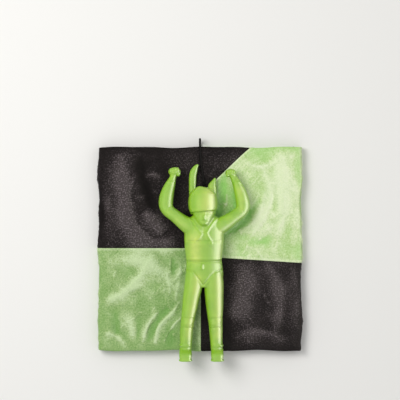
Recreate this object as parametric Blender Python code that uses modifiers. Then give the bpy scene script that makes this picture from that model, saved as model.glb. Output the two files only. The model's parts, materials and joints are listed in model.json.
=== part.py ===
# Toy parachute, packed: a moulded parachutist lies on its folded canopy, tied to it by a tether.
# Metres, +Z up. The packet lies on z = 0 with +Y towards the parachutist's head, and the origin
# is under the middle of the whole toy.
import math

import bmesh
import bpy
import numpy as np
from mathutils import Matrix

# Canopy: a square of four panels, in thirds each way
CANOPY_SIDE = 0.430
CLOTH = 0.00035
PLY_GAP = 0.00035
FOLD_ROOM = 0.0014
EDGE_MARGIN = 0.0018
HEM_WIDTH = 0.004
SEAM_GAP = 0.0003

# Nets, suspension lines and the knot they gather in
NET_THICKNESS = 0.0005
NET_DEPTH = 0.052
NET_MARGIN = 0.006
LINE_DIAMETER = 0.0007
LINES_A_SIDE = 4
LINE_SPACING = 0.0052
LINE_MARGIN = 0.0101
KNOT_DIAMETER = 0.0032
KNOT_FROM_FOOT_EDGE = 0.011
KNOT_GROOVE_SHARE = 0.16
KNOT_LENGTH_SHARE = 1.3

# Tether
TETHER_DIAMETER = 0.0016
BEND_RADIUS = 0.0040
LOOP_WIRE = 0.0007
LOOP_CLEARANCE = 0.0006
TIE_KNOT_DIAMETER = 0.0026
TIE_KNOT_GROOVE_SHARE = 0.12
REST_GAP = 0.0003

# Parachutist
FIGURE_HEIGHT = 0.122
FIGURE_OVERHANG = 0.0060
FIGURE_SIDE = 0.0028
NAPE_BAR_DIAMETER = 0.0020
MOULD_VOXEL = 0.00105
MOULD_TRIANGLE_SHARE = 0.19

# Top ply: its main folds, and its seams. The middle seam turns off to the right near the head
# edge. The seam across lies lower at the right, and slants.
FOLD_HEIGHT = 0.0011
FOLD_WIDTH = 0.0060
DIAGONAL_START = 0.0326
DIAGONAL_RUN = 0.0355
SEAM_DRIFT = 0.0047
SEAM_SLANT = 0.0045
SPINE_POWER = 3.0

# How finely the curved surfaces are cut
SECTION_SIDES = 20
BAR_SIDES = 16
BEND_STEPS = 12
LOOP_STEPS = 20
SOFTEN_TURNS = 3
SOFTEN_SHARE = 0.5

# What follows from the sizes above
PLY = CLOTH + PLY_GAP
PACK_SIDE = CANOPY_SIDE / 3 + FOLD_ROOM
PACK_HALF = PACK_SIDE / 2
PANEL_SIDE = CANOPY_SIDE / 2
PACK_CENTRE_Y = FIGURE_OVERHANG / 2
SPINE_BULGE = 3 * PLY
SLAB_HALF = PACK_HALF - CLOTH / 2 - SPINE_BULGE
HINGE_X = PACK_HALF + PLY_GAP / 2
ROLL_RADIUS = 2.5 * PLY
ROLL_MIDDLE = 1.5 * PLY
FLAP_HEIGHT = 2 * ROLL_RADIUS + CLOTH
NET_LOW_Z = FLAP_HEIGHT + PLY_GAP
LINE_Z = NET_LOW_Z + NET_THICKNESS + PLY_GAP + LINE_DIAMETER / 2
NET_HIGH_Z = LINE_Z + LINE_DIAMETER / 2 + PLY_GAP
CENTRE_LOW_Z = NET_HIGH_Z + NET_THICKNESS + PLY_GAP
PACK_HEIGHT = CENTRE_LOW_Z + 2 * PLY + CLOTH
CHANNEL_HALF = KNOT_DIAMETER / 2 + PLY_GAP
TURN_X = CHANNEL_HALF + ROLL_RADIUS + CLOTH / 2
FLAP_LENGTH = 2 * (SLAB_HALF - TURN_X) + math.pi * ROLL_MIDDLE - EDGE_MARGIN
HINGE_Z = PACK_HEIGHT / 2
CHANNEL_Z = KNOT_DIAMETER / 2 + PLY_GAP
FIGURE_BACK_Z = PACK_HEIGHT + REST_GAP
SOLE_Y = -(PACK_SIDE + FIGURE_OVERHANG) / 2
PACK_HEAD_Y = PACK_CENTRE_Y + PACK_HALF
PACK_FOOT_Y = PACK_CENTRE_Y - PACK_HALF

# Colour, roughness and metallic value of each material
BLACK_CLOTH = ((0.033, 0.028, 0.027), 0.72, 0.0)
GREEN_CLOTH = ((0.500, 0.640, 0.310), 0.60, 0.0)
BLACK_TAPE = ((0.022, 0.020, 0.020), 0.80, 0.0)
GREY_NET = ((0.210, 0.210, 0.200), 0.75, 0.0)
WHITE_LINE = ((0.560, 0.560, 0.540), 0.70, 0.0)
BLACK_CORD = ((0.018, 0.018, 0.018), 0.75, 0.0)
LIME_PLASTIC = ((0.300, 0.540, 0.065), 0.32, 0.0)

# Parachutist, in shares of its height: x and y from the middle of the soles, z from its back.
# A station is x, y, z, half width, half depth.
TORSO_SHARES = (
    (0.000, 0.851, 0.089, 0.040, 0.034),
    (0.000, 0.828, 0.089, 0.075, 0.046),
    (0.000, 0.805, 0.089, 0.098, 0.053),
    (0.000, 0.764, 0.089, 0.109, 0.059),
    (0.000, 0.718, 0.089, 0.113, 0.061),
    (0.000, 0.661, 0.087, 0.111, 0.060),
    (0.000, 0.609, 0.086, 0.105, 0.056),
    (0.000, 0.575, 0.085, 0.101, 0.053),
    (0.002, 0.534, 0.084, 0.105, 0.055),
    (0.003, 0.489, 0.082, 0.107, 0.054),
    (0.002, 0.454, 0.080, 0.092, 0.049),
    (0.000, 0.425, 0.079, 0.052, 0.040),
)
LEG_LEFT_SHARES = (
    (-0.051, 0.546, 0.083, 0.047, 0.046),
    (-0.055, 0.489, 0.082, 0.052, 0.051),
    (-0.061, 0.431, 0.079, 0.052, 0.051),
    (-0.073, 0.368, 0.075, 0.048, 0.048),
    (-0.082, 0.305, 0.070, 0.044, 0.044),
    (-0.091, 0.253, 0.067, 0.040, 0.041),
    (-0.096, 0.213, 0.064, 0.038, 0.040),
    (-0.101, 0.167, 0.061, 0.037, 0.039),
    (-0.103, 0.092, 0.054, 0.034, 0.036),
    (-0.106, 0.046, 0.051, 0.034, 0.036),
)
LEG_RIGHT_SHARES = (
    (0.053, 0.546, 0.083, 0.047, 0.046),
    (0.055, 0.489, 0.082, 0.053, 0.051),
    (0.057, 0.431, 0.079, 0.055, 0.051),
    (0.059, 0.368, 0.075, 0.052, 0.048),
    (0.062, 0.305, 0.070, 0.048, 0.044),
    (0.064, 0.253, 0.067, 0.043, 0.041),
    (0.067, 0.213, 0.064, 0.040, 0.040),
    (0.069, 0.167, 0.061, 0.038, 0.039),
    (0.072, 0.092, 0.054, 0.034, 0.036),
    (0.075, 0.046, 0.051, 0.034, 0.036),
)
ARM_LEFT_SHARES = (
    (-0.049, 0.759, 0.088, 0.046, 0.044),
    (-0.086, 0.776, 0.088, 0.048, 0.045),
    (-0.124, 0.801, 0.087, 0.041, 0.041),
    (-0.163, 0.832, 0.085, 0.036, 0.039),
    (-0.201, 0.861, 0.082, 0.036, 0.037),
    (-0.217, 0.890, 0.079, 0.040, 0.036),
    (-0.218, 0.925, 0.077, 0.041, 0.036),
    (-0.211, 0.962, 0.074, 0.038, 0.033),
    (-0.198, 1.000, 0.071, 0.032, 0.030),
    (-0.188, 1.030, 0.069, 0.028, 0.027),
    (-0.178, 1.057, 0.068, 0.025, 0.025),
)
ARM_RIGHT_SHARES = (
    (0.049, 0.756, 0.088, 0.046, 0.044),
    (0.086, 0.772, 0.088, 0.048, 0.045),
    (0.130, 0.798, 0.087, 0.043, 0.041),
    (0.172, 0.828, 0.085, 0.038, 0.039),
    (0.209, 0.856, 0.082, 0.037, 0.037),
    (0.224, 0.887, 0.079, 0.040, 0.036),
    (0.220, 0.925, 0.077, 0.039, 0.036),
    (0.210, 0.962, 0.074, 0.036, 0.033),
    (0.195, 1.001, 0.071, 0.030, 0.030),
    (0.180, 1.037, 0.069, 0.027, 0.027),
    (0.168, 1.060, 0.068, 0.025, 0.025),
)
PRONG_LEFT_SHARES = (
    (-0.055, 0.845, 0.044, 0.022, 0.020),
    (-0.063, 0.908, 0.036, 0.021, 0.017),
    (-0.066, 0.971, 0.032, 0.020, 0.015),
    (-0.066, 1.029, 0.031, 0.021, 0.014),
    (-0.064, 1.069, 0.031, 0.021, 0.014),
    (-0.056, 1.095, 0.031, 0.019, 0.013),
    (-0.045, 1.116, 0.031, 0.012, 0.011),
    (-0.033, 1.129, 0.031, 0.005, 0.007),
)
PRONG_RIGHT_SHARES = (
    (0.046, 0.845, 0.044, 0.022, 0.020),
    (0.052, 0.908, 0.036, 0.021, 0.017),
    (0.050, 0.971, 0.032, 0.023, 0.015),
    (0.047, 1.004, 0.031, 0.024, 0.014),
    (0.056, 1.029, 0.031, 0.014, 0.013),
    (0.065, 1.052, 0.031, 0.005, 0.007),
)
HELMET_SHARES = (
    (-0.004, 1.000, 0.112, 0.012, 0.011),
    (-0.005, 0.993, 0.110, 0.030, 0.026),
    (-0.006, 0.971, 0.106, 0.060, 0.048),
    (-0.006, 0.948, 0.100, 0.075, 0.064),
    (-0.006, 0.920, 0.096, 0.083, 0.075),
    (-0.006, 0.891, 0.095, 0.083, 0.077),
    (-0.004, 0.872, 0.096, 0.078, 0.074),
    (-0.003, 0.860, 0.097, 0.072, 0.070),
)
FACE_SHARES = (
    (-0.003, 0.885, 0.097, 0.066, 0.064),
    (-0.002, 0.862, 0.097, 0.064, 0.063),
    (-0.001, 0.839, 0.098, 0.059, 0.061),
    (0.000, 0.816, 0.100, 0.050, 0.055),
    (0.001, 0.799, 0.102, 0.038, 0.048),
    (0.001, 0.781, 0.103, 0.021, 0.034),
)
# An ellipsoid is its centre, then its half width, half length and half depth.
LUMP_SHARES = {
    "hand_left": ((-0.168, 1.089, 0.068), (0.038, 0.028, 0.027)),
    "hand_right": ((0.153, 1.080, 0.068), (0.030, 0.026, 0.027)),
    "nose": ((0.001, 0.826, 0.160), (0.010, 0.015, 0.010)),
}
# Main folds of the top ply, in shares of half the packet: both ends, then a share of the height.
FOLD_LINE_SHARES = (
    ((-0.92, -0.86), (-0.18, -0.20), 1.0),
    ((-0.66, -0.94), (-0.22, -0.52), 0.8),
    ((-0.86, -0.06), (-0.30, 0.12), 0.6),
    ((0.34, 0.16), (0.62, 0.88), 0.8),
    ((0.58, 0.06), (0.90, 0.52), 0.6),
    ((0.30, -0.24), (0.86, -0.50), 0.7),
    ((-0.80, 0.30), (-0.42, 0.84), 0.6),
)
# A block is its centre, then its half width, half length and half depth, with rounded edges.
BLOCK_SHARES = {
    "parachute_pack": ((0.000, 0.718, 0.024), (0.075, 0.080, 0.024)),
    "boot_left": ((-0.106, 0.026, 0.064), (0.037, 0.026, 0.062)),
    "boot_right": ((0.076, 0.026, 0.064), (0.037, 0.026, 0.062)),
}
BLOCK_ROUND_SHARE = 0.014
NAPE_BAR_PLACE_SHARES = (0.983, 0.0220)
NAPE_BAR_ENDS_SHARES = (-0.064, 0.052)
SECTION_POWER = 2.3
RELIEF_DEPTH_SHARE = 0.0042
RELIEF_WIDTH_SHARE = 0.0085
# A relief line is its height in relief depths, its width in relief widths, and its points.
RELIEF_SHARES = (
    (1.0, 1.2, ((-0.060, 0.828), (-0.037, 0.784), (-0.010, 0.736), (-0.037, 0.693))),
    (1.0, 1.2, ((0.063, 0.828), (0.040, 0.784), (0.013, 0.736), (0.039, 0.693))),
    (0.7, 1.3, ((-0.109, 0.685), (0.000, 0.683), (0.109, 0.685))),
    (0.7, 1.2, ((-0.103, 0.592), (0.000, 0.591), (0.103, 0.592))),
    (-0.9, 0.9, ((-0.104, 0.573), (0.000, 0.572), (0.104, 0.573))),
    (-0.8, 0.9, ((-0.098, 0.526), (-0.055, 0.494), (-0.008, 0.443))),
    (-0.8, 0.9, ((0.103, 0.526), (0.057, 0.494), (-0.002, 0.443))),
    (0.9, 1.6, ((-0.012, 0.542), (-0.004, 0.542))),
    (-0.6, 0.8, ((-0.128, 0.246), (-0.055, 0.240))),
    (-0.6, 0.8, ((-0.130, 0.204), (-0.060, 0.198))),
    (-0.6, 0.8, ((0.028, 0.240), (0.108, 0.246))),
    (-0.6, 0.8, ((0.030, 0.198), (0.104, 0.204))),
    (-0.7, 0.9, ((-0.030, 0.849), (-0.015, 0.850))),
    (-0.7, 0.9, ((0.015, 0.850), (0.030, 0.849))),
    (-0.7, 0.7, ((-0.013, 0.801), (0.014, 0.801))),
)

# Tether route, from the knot on the canopy to the knot at the nape, in metres
TETHER_INNER_POINTS = (
    (0.0000, -0.0554, 0.00195), (0.0001, -0.0450, 0.00192), (0.0003, -0.0300, 0.00188),
    (-0.0002, -0.0120, 0.00190), (-0.0003, 0.0080, 0.00192), (0.0002, 0.0280, 0.00190),
    (0.0003, 0.0480, 0.00190), (0.0001, 0.0640, 0.00192), (0.0000, 0.0756, 0.00195),
)


def clear_scene():
    for thing in list(bpy.data.objects):
        bpy.data.objects.remove(thing, do_unlink=True)


def make_material(name, look):
    colour, roughness, metallic = look
    material = bpy.data.materials.new(name)
    material.use_nodes = True
    shader = material.node_tree.nodes["Principled BSDF"]
    shader.inputs["Base Color"].default_value = (*colour, 1.0)
    shader.inputs["Roughness"].default_value = roughness
    shader.inputs["Metallic"].default_value = metallic
    material.diffuse_color = (*colour, 1.0)
    return material


def add_object(name, data, collection, material):
    thing = bpy.data.objects.new(name, data)
    data.materials.append(material)
    collection.objects.link(thing)
    return thing


def mesh_from(name, bm):
    mesh = bpy.data.meshes.new(name)
    bm.to_mesh(mesh)
    bm.free()
    return mesh


def evaluated_mesh(thing):
    bpy.context.view_layer.update()
    graph = bpy.context.evaluated_depsgraph_get()
    return bpy.data.meshes.new_from_object(thing.evaluated_get(graph))


def spread(start, end, count):
    return [start + (end - start) * i / count for i in range(count + 1)]


# The canopy's fold. A point of the flat canopy is u across and v along, from its middle.
# The top and bottom thirds fold behind the middle one, so a point lies at y, and at a depth
# below the front ply. Then the side thirds fold under, and each rolls in on itself once.


def front_length(v):
    radius = bend_radius(v)
    return PACK_HALF - radius - CLOTH / 2


def bend_radius(v):
    return PLY / 2 if v > 0 else PLY


def fold_along(v):
    sign = 1 if v > 0 else -1
    radius, front, run = bend_radius(v), front_length(v), abs(v)
    if run <= front:
        return v, 0.0
    if run <= front + math.pi * radius:
        turn = (run - front) / radius
        return sign * (front + radius * math.sin(turn)), radius * (1 - math.cos(turn))
    return sign * (2 * front + math.pi * radius - run), 2 * radius


def fold_across(run, depth):
    # run is measured along a side third from its outer end
    first = SLAB_HALF - TURN_X
    radius = ROLL_RADIUS - depth
    middle_z = CLOTH / 2 + ROLL_RADIUS
    if run <= first:
        return SLAB_HALF - run, middle_z - radius
    if run <= first + math.pi * ROLL_MIDDLE:
        turn = (run - first) / ROLL_MIDDLE
        return TURN_X - radius * math.sin(turn), middle_z - radius * math.cos(turn)
    return TURN_X + run - first - math.pi * ROLL_MIDDLE, middle_z + radius


def along_values(start, end, flat_count, bend_count):
    # values of v from start to end, the further one, with the bend's own values between
    sign = -1 if end < 0 else 1
    front = front_length(end)
    bend = math.pi * bend_radius(end)
    near, far = abs(start), abs(end)
    values = spread(near, front, flat_count)[:-1] + spread(front, front + bend, bend_count)[:-1]
    values += spread(front + bend, far, 2)
    return [sign * value for value in values]


def sheet_mesh(name, columns, rows, place):
    # an open surface over a grid of columns and rows, put in place point by point
    bm = bmesh.new()
    grid = [[bm.verts.new(place(c, r)) for c in columns] for r in rows]
    for low, high in zip(grid, grid[1:]):
        for i in range(len(columns) - 1):
            bm.faces.new((low[i], low[i + 1], high[i + 1], high[i]))
    bmesh.ops.recalc_face_normals(bm, faces=bm.faces)
    for face in bm.faces:
        face.smooth = True
    return mesh_from(name, bm)


def thicken(thing, thickness):
    wall = thing.modifiers.new("cloth thickness", "SOLIDIFY")
    wall.thickness = thickness
    wall.offset = 0.0
    wall.use_even_offset = True


def ridge(x, y, start, end, height, width):
    # a soft fold that runs from start to end and dies away past both
    (ax, ay), (bx, by) = start, end
    length = math.hypot(bx - ax, by - ay)
    along = ((x - ax) * (bx - ax) + (y - ay) * (by - ay)) / length
    off = ((x - ax) * (by - ay) - (y - ay) * (bx - ax)) / length
    past = max(0.0, -along, along - length)
    return height * math.exp(-((off / width) ** 2) - (past / width) ** 2)


def front_rise(x, y):
    # how far the front ply stands above its flat place; x and y from the packet's middle
    rise = sum(
        ridge(x, y, (ax * PACK_HALF, ay * PACK_HALF), (bx * PACK_HALF, by * PACK_HALF),
              FOLD_HEIGHT * share, FOLD_WIDTH)
        for (ax, ay), (bx, by), share in FOLD_LINE_SHARES
    )
    edge = min(1.0, (SLAB_HALF - abs(x)) / FOLD_WIDTH, (PACK_HALF - abs(y)) / FOLD_WIDTH)
    return rise * max(0.0, edge)


def seam_x(v):
    # the seam between the left and right panels: straight, then it drifts towards the right
    # over the head third, and comes back on the ply behind
    start = PACK_HALF - DIAGONAL_START
    front = front_length(v)
    if v <= start:
        return 0.0
    if v <= front:
        return DIAGONAL_RUN * (v - start) / (front - start)
    return DIAGONAL_RUN * max(0.0, 1 - (v - front) / DIAGONAL_RUN)


def seam_drift(u, y):
    # how much lower than the left panels the right ones lie on the front ply
    if u <= 0:
        return 0.0
    drift = SEAM_DRIFT * min(1.0, u / FOLD_WIDTH) + SEAM_SLANT * u / SLAB_HALF
    return -drift * (1 - abs(y) / PACK_HALF)


def spine_point(turn, depth):
    # x and z round one side of the packet, where turn goes from the flat ply to the hinge line
    half_gap = SEAM_GAP / 2
    tall = PACK_HEIGHT - CLOTH / 2 - depth - HINGE_Z - half_gap
    power = 2 / SPINE_POWER
    x = SLAB_HALF + (SPINE_BULGE - depth) * math.sin(turn) ** power
    return x, HINGE_Z + half_gap + tall * max(0.0, math.cos(turn)) ** power


def centre_point(u, v, turn=0.0):
    # a point of the middle third, on the front ply or behind it, or round the side
    y, depth = fold_along(v)
    x, z = u, PACK_HEIGHT - CLOTH / 2 - depth
    if turn > 0:
        x, z = spine_point(turn, depth)
        x = math.copysign(x, u)
    if depth == 0:
        z += front_rise(u, y)
        y += seam_drift(u, y)
    return x, PACK_CENTRE_Y + y, z


def build_centre_panel(name, side, end, look, collection):
    rows = along_values(end * SEAM_GAP / 2, end * (PANEL_SIDE - HEM_WIDTH), 9, 4)
    columns = [(share, 0.0) for share in spread(0.0, 1.0, 7)]
    columns += [(1.0, turn) for turn in spread(0.0, math.pi / 2, 4)[1:]]

    def place(column, v):
        share, turn = column
        inner = seam_x(v) + side * SEAM_GAP / 2
        return centre_point(inner + (side * SLAB_HALF - inner) * share, v, turn)

    mesh = sheet_mesh(name, columns, rows, place)
    thicken(add_object(name, mesh, collection, look), CLOTH)


def flap_point(side, run, v):
    # a point of a side third; a run below zero lies round the side of the packet
    y, depth = fold_along(v)
    if run < 0:
        x, z = spine_point(-run, depth)
        z = PACK_HEIGHT - z
    else:
        x, z = fold_across(run, depth)
    if depth == 0:
        y += seam_drift(side * SLAB_HALF, y)
    return side * x, PACK_CENTRE_Y + y, z


def flap_runs(start, end):
    first = SLAB_HALF - TURN_X
    turn = math.pi * ROLL_MIDDLE
    runs = spread(start, first, 2)[:-1] + spread(first, first + turn, 8)[:-1]
    return runs + spread(first + turn, end, 2)


def build_flap_panel(name, side, end, look, collection):
    rows = along_values(end * SEAM_GAP / 2, end * (PANEL_SIDE - HEM_WIDTH), 2, 4)
    runs = spread(-math.pi / 2, 0.0, 4)[:-1] + flap_runs(0.0, FLAP_LENGTH - HEM_WIDTH)
    mesh = sheet_mesh(name, runs, rows, lambda run, v: flap_point(side, run, v))
    thicken(add_object(name, mesh, collection, look), CLOTH)


def build_centre_hem(name, end, look, collection):
    # the tape along the canopy's head or foot edge, where the middle third carries it
    edge = PANEL_SIDE - HEM_WIDTH + SEAM_GAP
    rows = spread(end * edge, end * PANEL_SIDE, 1)
    columns = spread(-SLAB_HALF, SLAB_HALF, 4)
    mesh = sheet_mesh(name, columns, rows, centre_point)
    thicken(add_object(name, mesh, collection, look), CLOTH)


def build_flap_hems(word, side, look, collection):
    # the tape along the canopy's side edge, then the ends of the head and foot tapes
    inner = FLAP_LENGTH - HEM_WIDTH + SEAM_GAP
    edge = PANEL_SIDE - HEM_WIDTH + SEAM_GAP
    whole = along_values(0.0, -PANEL_SIDE, 2, 4)[::-1] + along_values(0.0, PANEL_SIDE, 2, 4)[1:]
    strips = {
        "hem_side_" + word: (spread(inner, FLAP_LENGTH, 1), whole),
        "hem_head_" + word: (flap_runs(0.0, FLAP_LENGTH - HEM_WIDTH), spread(edge, PANEL_SIDE, 1)),
        "hem_foot_" + word: (flap_runs(0.0, FLAP_LENGTH - HEM_WIDTH), spread(-edge, -PANEL_SIDE, 1)),
    }
    for name, (columns, rows) in strips.items():
        mesh = sheet_mesh(name, columns, rows, lambda run, v: flap_point(side, run, v))
        thicken(add_object(name, mesh, collection, look), CLOTH)


def build_box(name, low, high, look, collection):
    bm = bmesh.new()
    bmesh.ops.create_cube(bm, size=1.0)
    for vert in bm.verts:
        for k in range(3):
            vert.co[k] = low[k] if vert.co[k] < 0 else high[k]
    return add_object(name, mesh_from(name, bm), collection, look)


def build_nets(look, collection):
    # net strips of the skirt, folded in with the canopy: two lie low on the side flaps, and
    # two lie high, under the middle third
    wide = SLAB_HALF - NET_MARGIN
    deep = PACK_HALF - NET_MARGIN
    for name, side in (("net_left", -1), ("net_right", 1)):
        near, far = sorted((side * (wide - NET_DEPTH), side * wide))
        build_box(name, (near, PACK_CENTRE_Y - deep, NET_LOW_Z),
                  (far, PACK_CENTRE_Y + deep, NET_LOW_Z + NET_THICKNESS), look, collection)
    for name, end in (("net_foot", -1), ("net_head", 1)):
        near, far = sorted((end * (deep - NET_DEPTH), end * deep))
        build_box(name, (-wide, PACK_CENTRE_Y + near, NET_HIGH_Z),
                  (wide, PACK_CENTRE_Y + far, NET_HIGH_Z + NET_THICKNESS), look, collection)


def smooth_path(points, step):
    # points along a smooth curve through the given ones, about a step apart
    given = [np.array(p, float) for p in points]
    given = [2 * given[0] - given[1]] + given + [2 * given[-1] - given[-2]]
    found = []
    for a, b, c, d in zip(given, given[1:], given[2:], given[3:]):
        count = max(1, round(float(np.linalg.norm(c - b)) / step))
        for i in range(count):
            t = i / count
            found.append(0.5 * (2 * b + (c - a) * t + (2 * a - 5 * b + 4 * c - d) * t ** 2
                                + (3 * b - a - 3 * c + d) * t ** 3))
    found.append(given[-2])
    return [tuple(float(x) for x in p) for p in found]


def curve_data(name, paths, diameter, resolution):
    data = bpy.data.curves.new(name, "CURVE")
    data.dimensions = "3D"
    data.bevel_depth = diameter / 2
    data.bevel_resolution = resolution
    data.use_fill_caps = True
    for path in paths:
        spline = data.splines.new("POLY")
        spline.points.add(len(path) - 1)
        for point, place in zip(spline.points, path):
            point.co = (*place, 1.0)
    return data


def build_lines(look, collection):
    # each suspension line runs up from its net, across the packet and back down to the knot
    knot_y = PACK_FOOT_Y + KNOT_FROM_FOOT_EDGE
    reach = SLAB_HALF - LINE_MARGIN
    for word, side in (("left", -1), ("right", 1)):
        for i in range(LINES_A_SIDE):
            step = i * LINE_SPACING
            outer = reach - step
            inner = CHANNEL_HALF + LINE_SPACING + step
            top = PACK_CENTRE_Y + reach - step
            low = knot_y + LINE_SPACING + step
            route = [(outer, low), (outer, top - LINE_SPACING), (outer - LINE_SPACING, top),
                     (inner + LINE_SPACING, top), (inner, top - LINE_SPACING), (inner, low)]
            path = [(side * x, y, LINE_Z) for x, y in route]
            name = "line_" + word + "_" + str(i + 1)
            add_object(name, curve_data(name, [path], LINE_DIAMETER, 1), collection, look)


def knot_mesh(name, diameter, groove_share, length_share, place, fineness):
    # two crossed turns round a core, drawn tight
    bm = bmesh.new()
    radius = diameter / 2
    bmesh.ops.create_icosphere(bm, subdivisions=fineness, radius=radius)
    for vert in bm.verts:
        x, y, z = vert.co / radius
        groove = abs(math.sin(2 * math.atan2(z, x) + 2 * y))
        vert.co *= 1 - groove_share + groove_share * groove
        vert.co.y *= length_share
    bmesh.ops.translate(bm, vec=place, verts=bm.verts)
    return mesh_from(name, bm)


def build_gather_knot(look, collection):
    place = (0.0, PACK_FOOT_Y + KNOT_FROM_FOOT_EDGE, CHANNEL_Z)
    mesh = knot_mesh("gather_knot", KNOT_DIAMETER, KNOT_GROOVE_SHARE, KNOT_LENGTH_SHARE, place, 3)
    add_object("gather_knot", mesh, collection, look)


def nape():
    y_share, z_share = NAPE_BAR_PLACE_SHARES
    return FIGURE_SIDE, SOLE_Y + y_share * FIGURE_HEIGHT, FIGURE_BACK_Z + z_share * FIGURE_HEIGHT


def lift_axis():
    # the tether turns up round the packet's head edge about this line along X
    return PACK_HEAD_Y + REST_GAP + TETHER_DIAMETER / 2, CHANNEL_Z + BEND_RADIUS


def build_tether(look, collection):
    step = 2 * TETHER_DIAMETER
    axis_y, axis_z = lift_axis()
    inner = smooth_path(TETHER_INNER_POINTS, step)
    data = curve_data("tether_inner", [inner], TETHER_DIAMETER, 2)
    add_object("tether_inner", data, collection, look)
    bend = []
    for turn in spread(0.0, math.pi, BEND_STEPS):
        bend.append((0.0, axis_y + BEND_RADIUS * math.sin(turn), axis_z - BEND_RADIUS * math.cos(turn)))
    data = curve_data("tether_bend", [bend], TETHER_DIAMETER, 2)
    add_object("tether_bend", data, collection, look)
    nape_x, nape_y, nape_z = nape()
    loop_reach = NAPE_BAR_DIAMETER / 2 + LOOP_CLEARANCE + LOOP_WIRE
    knot_y = nape_y + loop_reach + REST_GAP + TIE_KNOT_DIAMETER / 2
    low_z = PACK_HEIGHT + REST_GAP + TETHER_DIAMETER / 2
    knot_z = low_z + REST_GAP
    start = (0.0, axis_y - REST_GAP, axis_z + BEND_RADIUS)
    end = (nape_x, knot_y + TIE_KNOT_DIAMETER / 2 + REST_GAP, knot_z)
    middle = ((start[0] + end[0]) / 2, (start[1] + end[1]) / 2, (start[2] + end[2]) / 2)
    outer = smooth_path([start, middle, end], step)
    data = curve_data("tether_outer", [outer], TETHER_DIAMETER, 2)
    add_object("tether_outer", data, collection, look)
    mesh = knot_mesh("tether_knot", TIE_KNOT_DIAMETER, TIE_KNOT_GROOVE_SHARE, 1.0,
                     (nape_x, knot_y, knot_z), 2)
    add_object("tether_knot", mesh, collection, look)
    ring = []
    radius = NAPE_BAR_DIAMETER / 2 + LOOP_CLEARANCE + LOOP_WIRE / 2
    for turn in spread(0.0, 2 * math.pi, LOOP_STEPS)[:-1]:
        ring.append((nape_x, nape_y + radius * math.cos(turn), nape_z + radius * math.sin(turn)))
    data = curve_data("tether_loop", [ring], LOOP_WIRE, 1)
    data.use_fill_caps = False
    data.splines[0].use_cyclic_u = True
    add_object("tether_loop", data, collection, look)


# The parachutist: closed lofts and lumps, made one skin, with lines pressed in


def figure_place(x, y, z):
    return FIGURE_SIDE + x * FIGURE_HEIGHT, SOLE_Y + y * FIGURE_HEIGHT, FIGURE_BACK_Z + z * FIGURE_HEIGHT


def loft(bm, stations, power):
    # a closed skin over sections that stand square to the path through the stations
    path = [np.array(s[:2], float) for s in stations]
    rings = []
    for i, (x, y, z, wide, deep) in enumerate(stations):
        heading = path[min(i + 1, len(path) - 1)] - path[max(i - 1, 0)]
        heading /= np.linalg.norm(heading)
        across = (heading[1], -heading[0])
        ring = []
        for turn in spread(0.0, 2 * math.pi, SECTION_SIDES)[:-1]:
            c, s = math.cos(turn), math.sin(turn)
            a = wide * math.copysign(abs(c) ** (2 / power), c)
            b = deep * math.copysign(abs(s) ** (2 / power), s)
            ring.append(bm.verts.new(figure_place(x + across[0] * a, y + across[1] * a, z + b)))
        rings.append(ring)
    join_rings(bm, rings)


def join_rings(bm, rings):
    # walls between neighbouring rings, and a cap on both ends
    for low, high in zip(rings, rings[1:]):
        for k in range(len(low)):
            bm.faces.new((low[k - 1], low[k], high[k], high[k - 1]))
    bm.faces.new(rings[0][::-1])
    bm.faces.new(rings[-1])


def add_lump(bm, centre, half):
    made = bmesh.ops.create_uvsphere(bm, u_segments=SECTION_SIDES, v_segments=SECTION_SIDES // 2,
                                     radius=1.0)
    for vert in made["verts"]:
        vert.co = figure_place(*(c + h * v for c, h, v in zip(centre, half, vert.co)))


def add_block(bm, centre, half, rounding):
    made = bmesh.ops.create_cube(bm, size=2.0)
    for vert in made["verts"]:
        vert.co = figure_place(*(c + h * v for c, h, v in zip(centre, half, vert.co)))
    edges = list({edge for vert in made["verts"] for edge in vert.link_edges})
    bmesh.ops.bevel(bm, geom=edges, offset=rounding * FIGURE_HEIGHT, segments=3, profile=0.5,
                    affect="EDGES")


def add_bar(bm):
    y, z = NAPE_BAR_PLACE_SHARES
    low, high = NAPE_BAR_ENDS_SHARES
    radius = NAPE_BAR_DIAMETER / 2
    rings = []
    for x in (low, high):
        px, py, pz = figure_place(x, y, z)
        ring = []
        for turn in spread(0.0, 2 * math.pi, BAR_SIDES)[:-1]:
            ring.append(bm.verts.new((px, py + radius * math.cos(turn), pz + radius * math.sin(turn))))
        rings.append(ring)
    join_rings(bm, rings)


def figure_shells():
    bm = bmesh.new()
    for stations in (TORSO_SHARES, LEG_LEFT_SHARES, LEG_RIGHT_SHARES, ARM_LEFT_SHARES, ARM_RIGHT_SHARES,
                     PRONG_LEFT_SHARES, PRONG_RIGHT_SHARES, HELMET_SHARES, FACE_SHARES):
        loft(bm, stations, SECTION_POWER)
    for centre, half in LUMP_SHARES.values():
        add_lump(bm, centre, half)
    for centre, half in BLOCK_SHARES.values():
        add_block(bm, centre, half, BLOCK_ROUND_SHARE)
    add_bar(bm)
    bmesh.ops.recalc_face_normals(bm, faces=bm.faces)
    return mesh_from("figure shells", bm)


def distance_to_line(x, y, points):
    best = np.full(x.shape, np.inf)
    for (ax, ay), (bx, by) in zip(points, points[1:]):
        dx, dy = bx - ax, by - ay
        t = np.clip(((x - ax) * dx + (y - ay) * dy) / (dx * dx + dy * dy), 0, 1)
        best = np.minimum(best, np.hypot(x - ax - t * dx, y - ay - t * dy))
    return best


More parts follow.
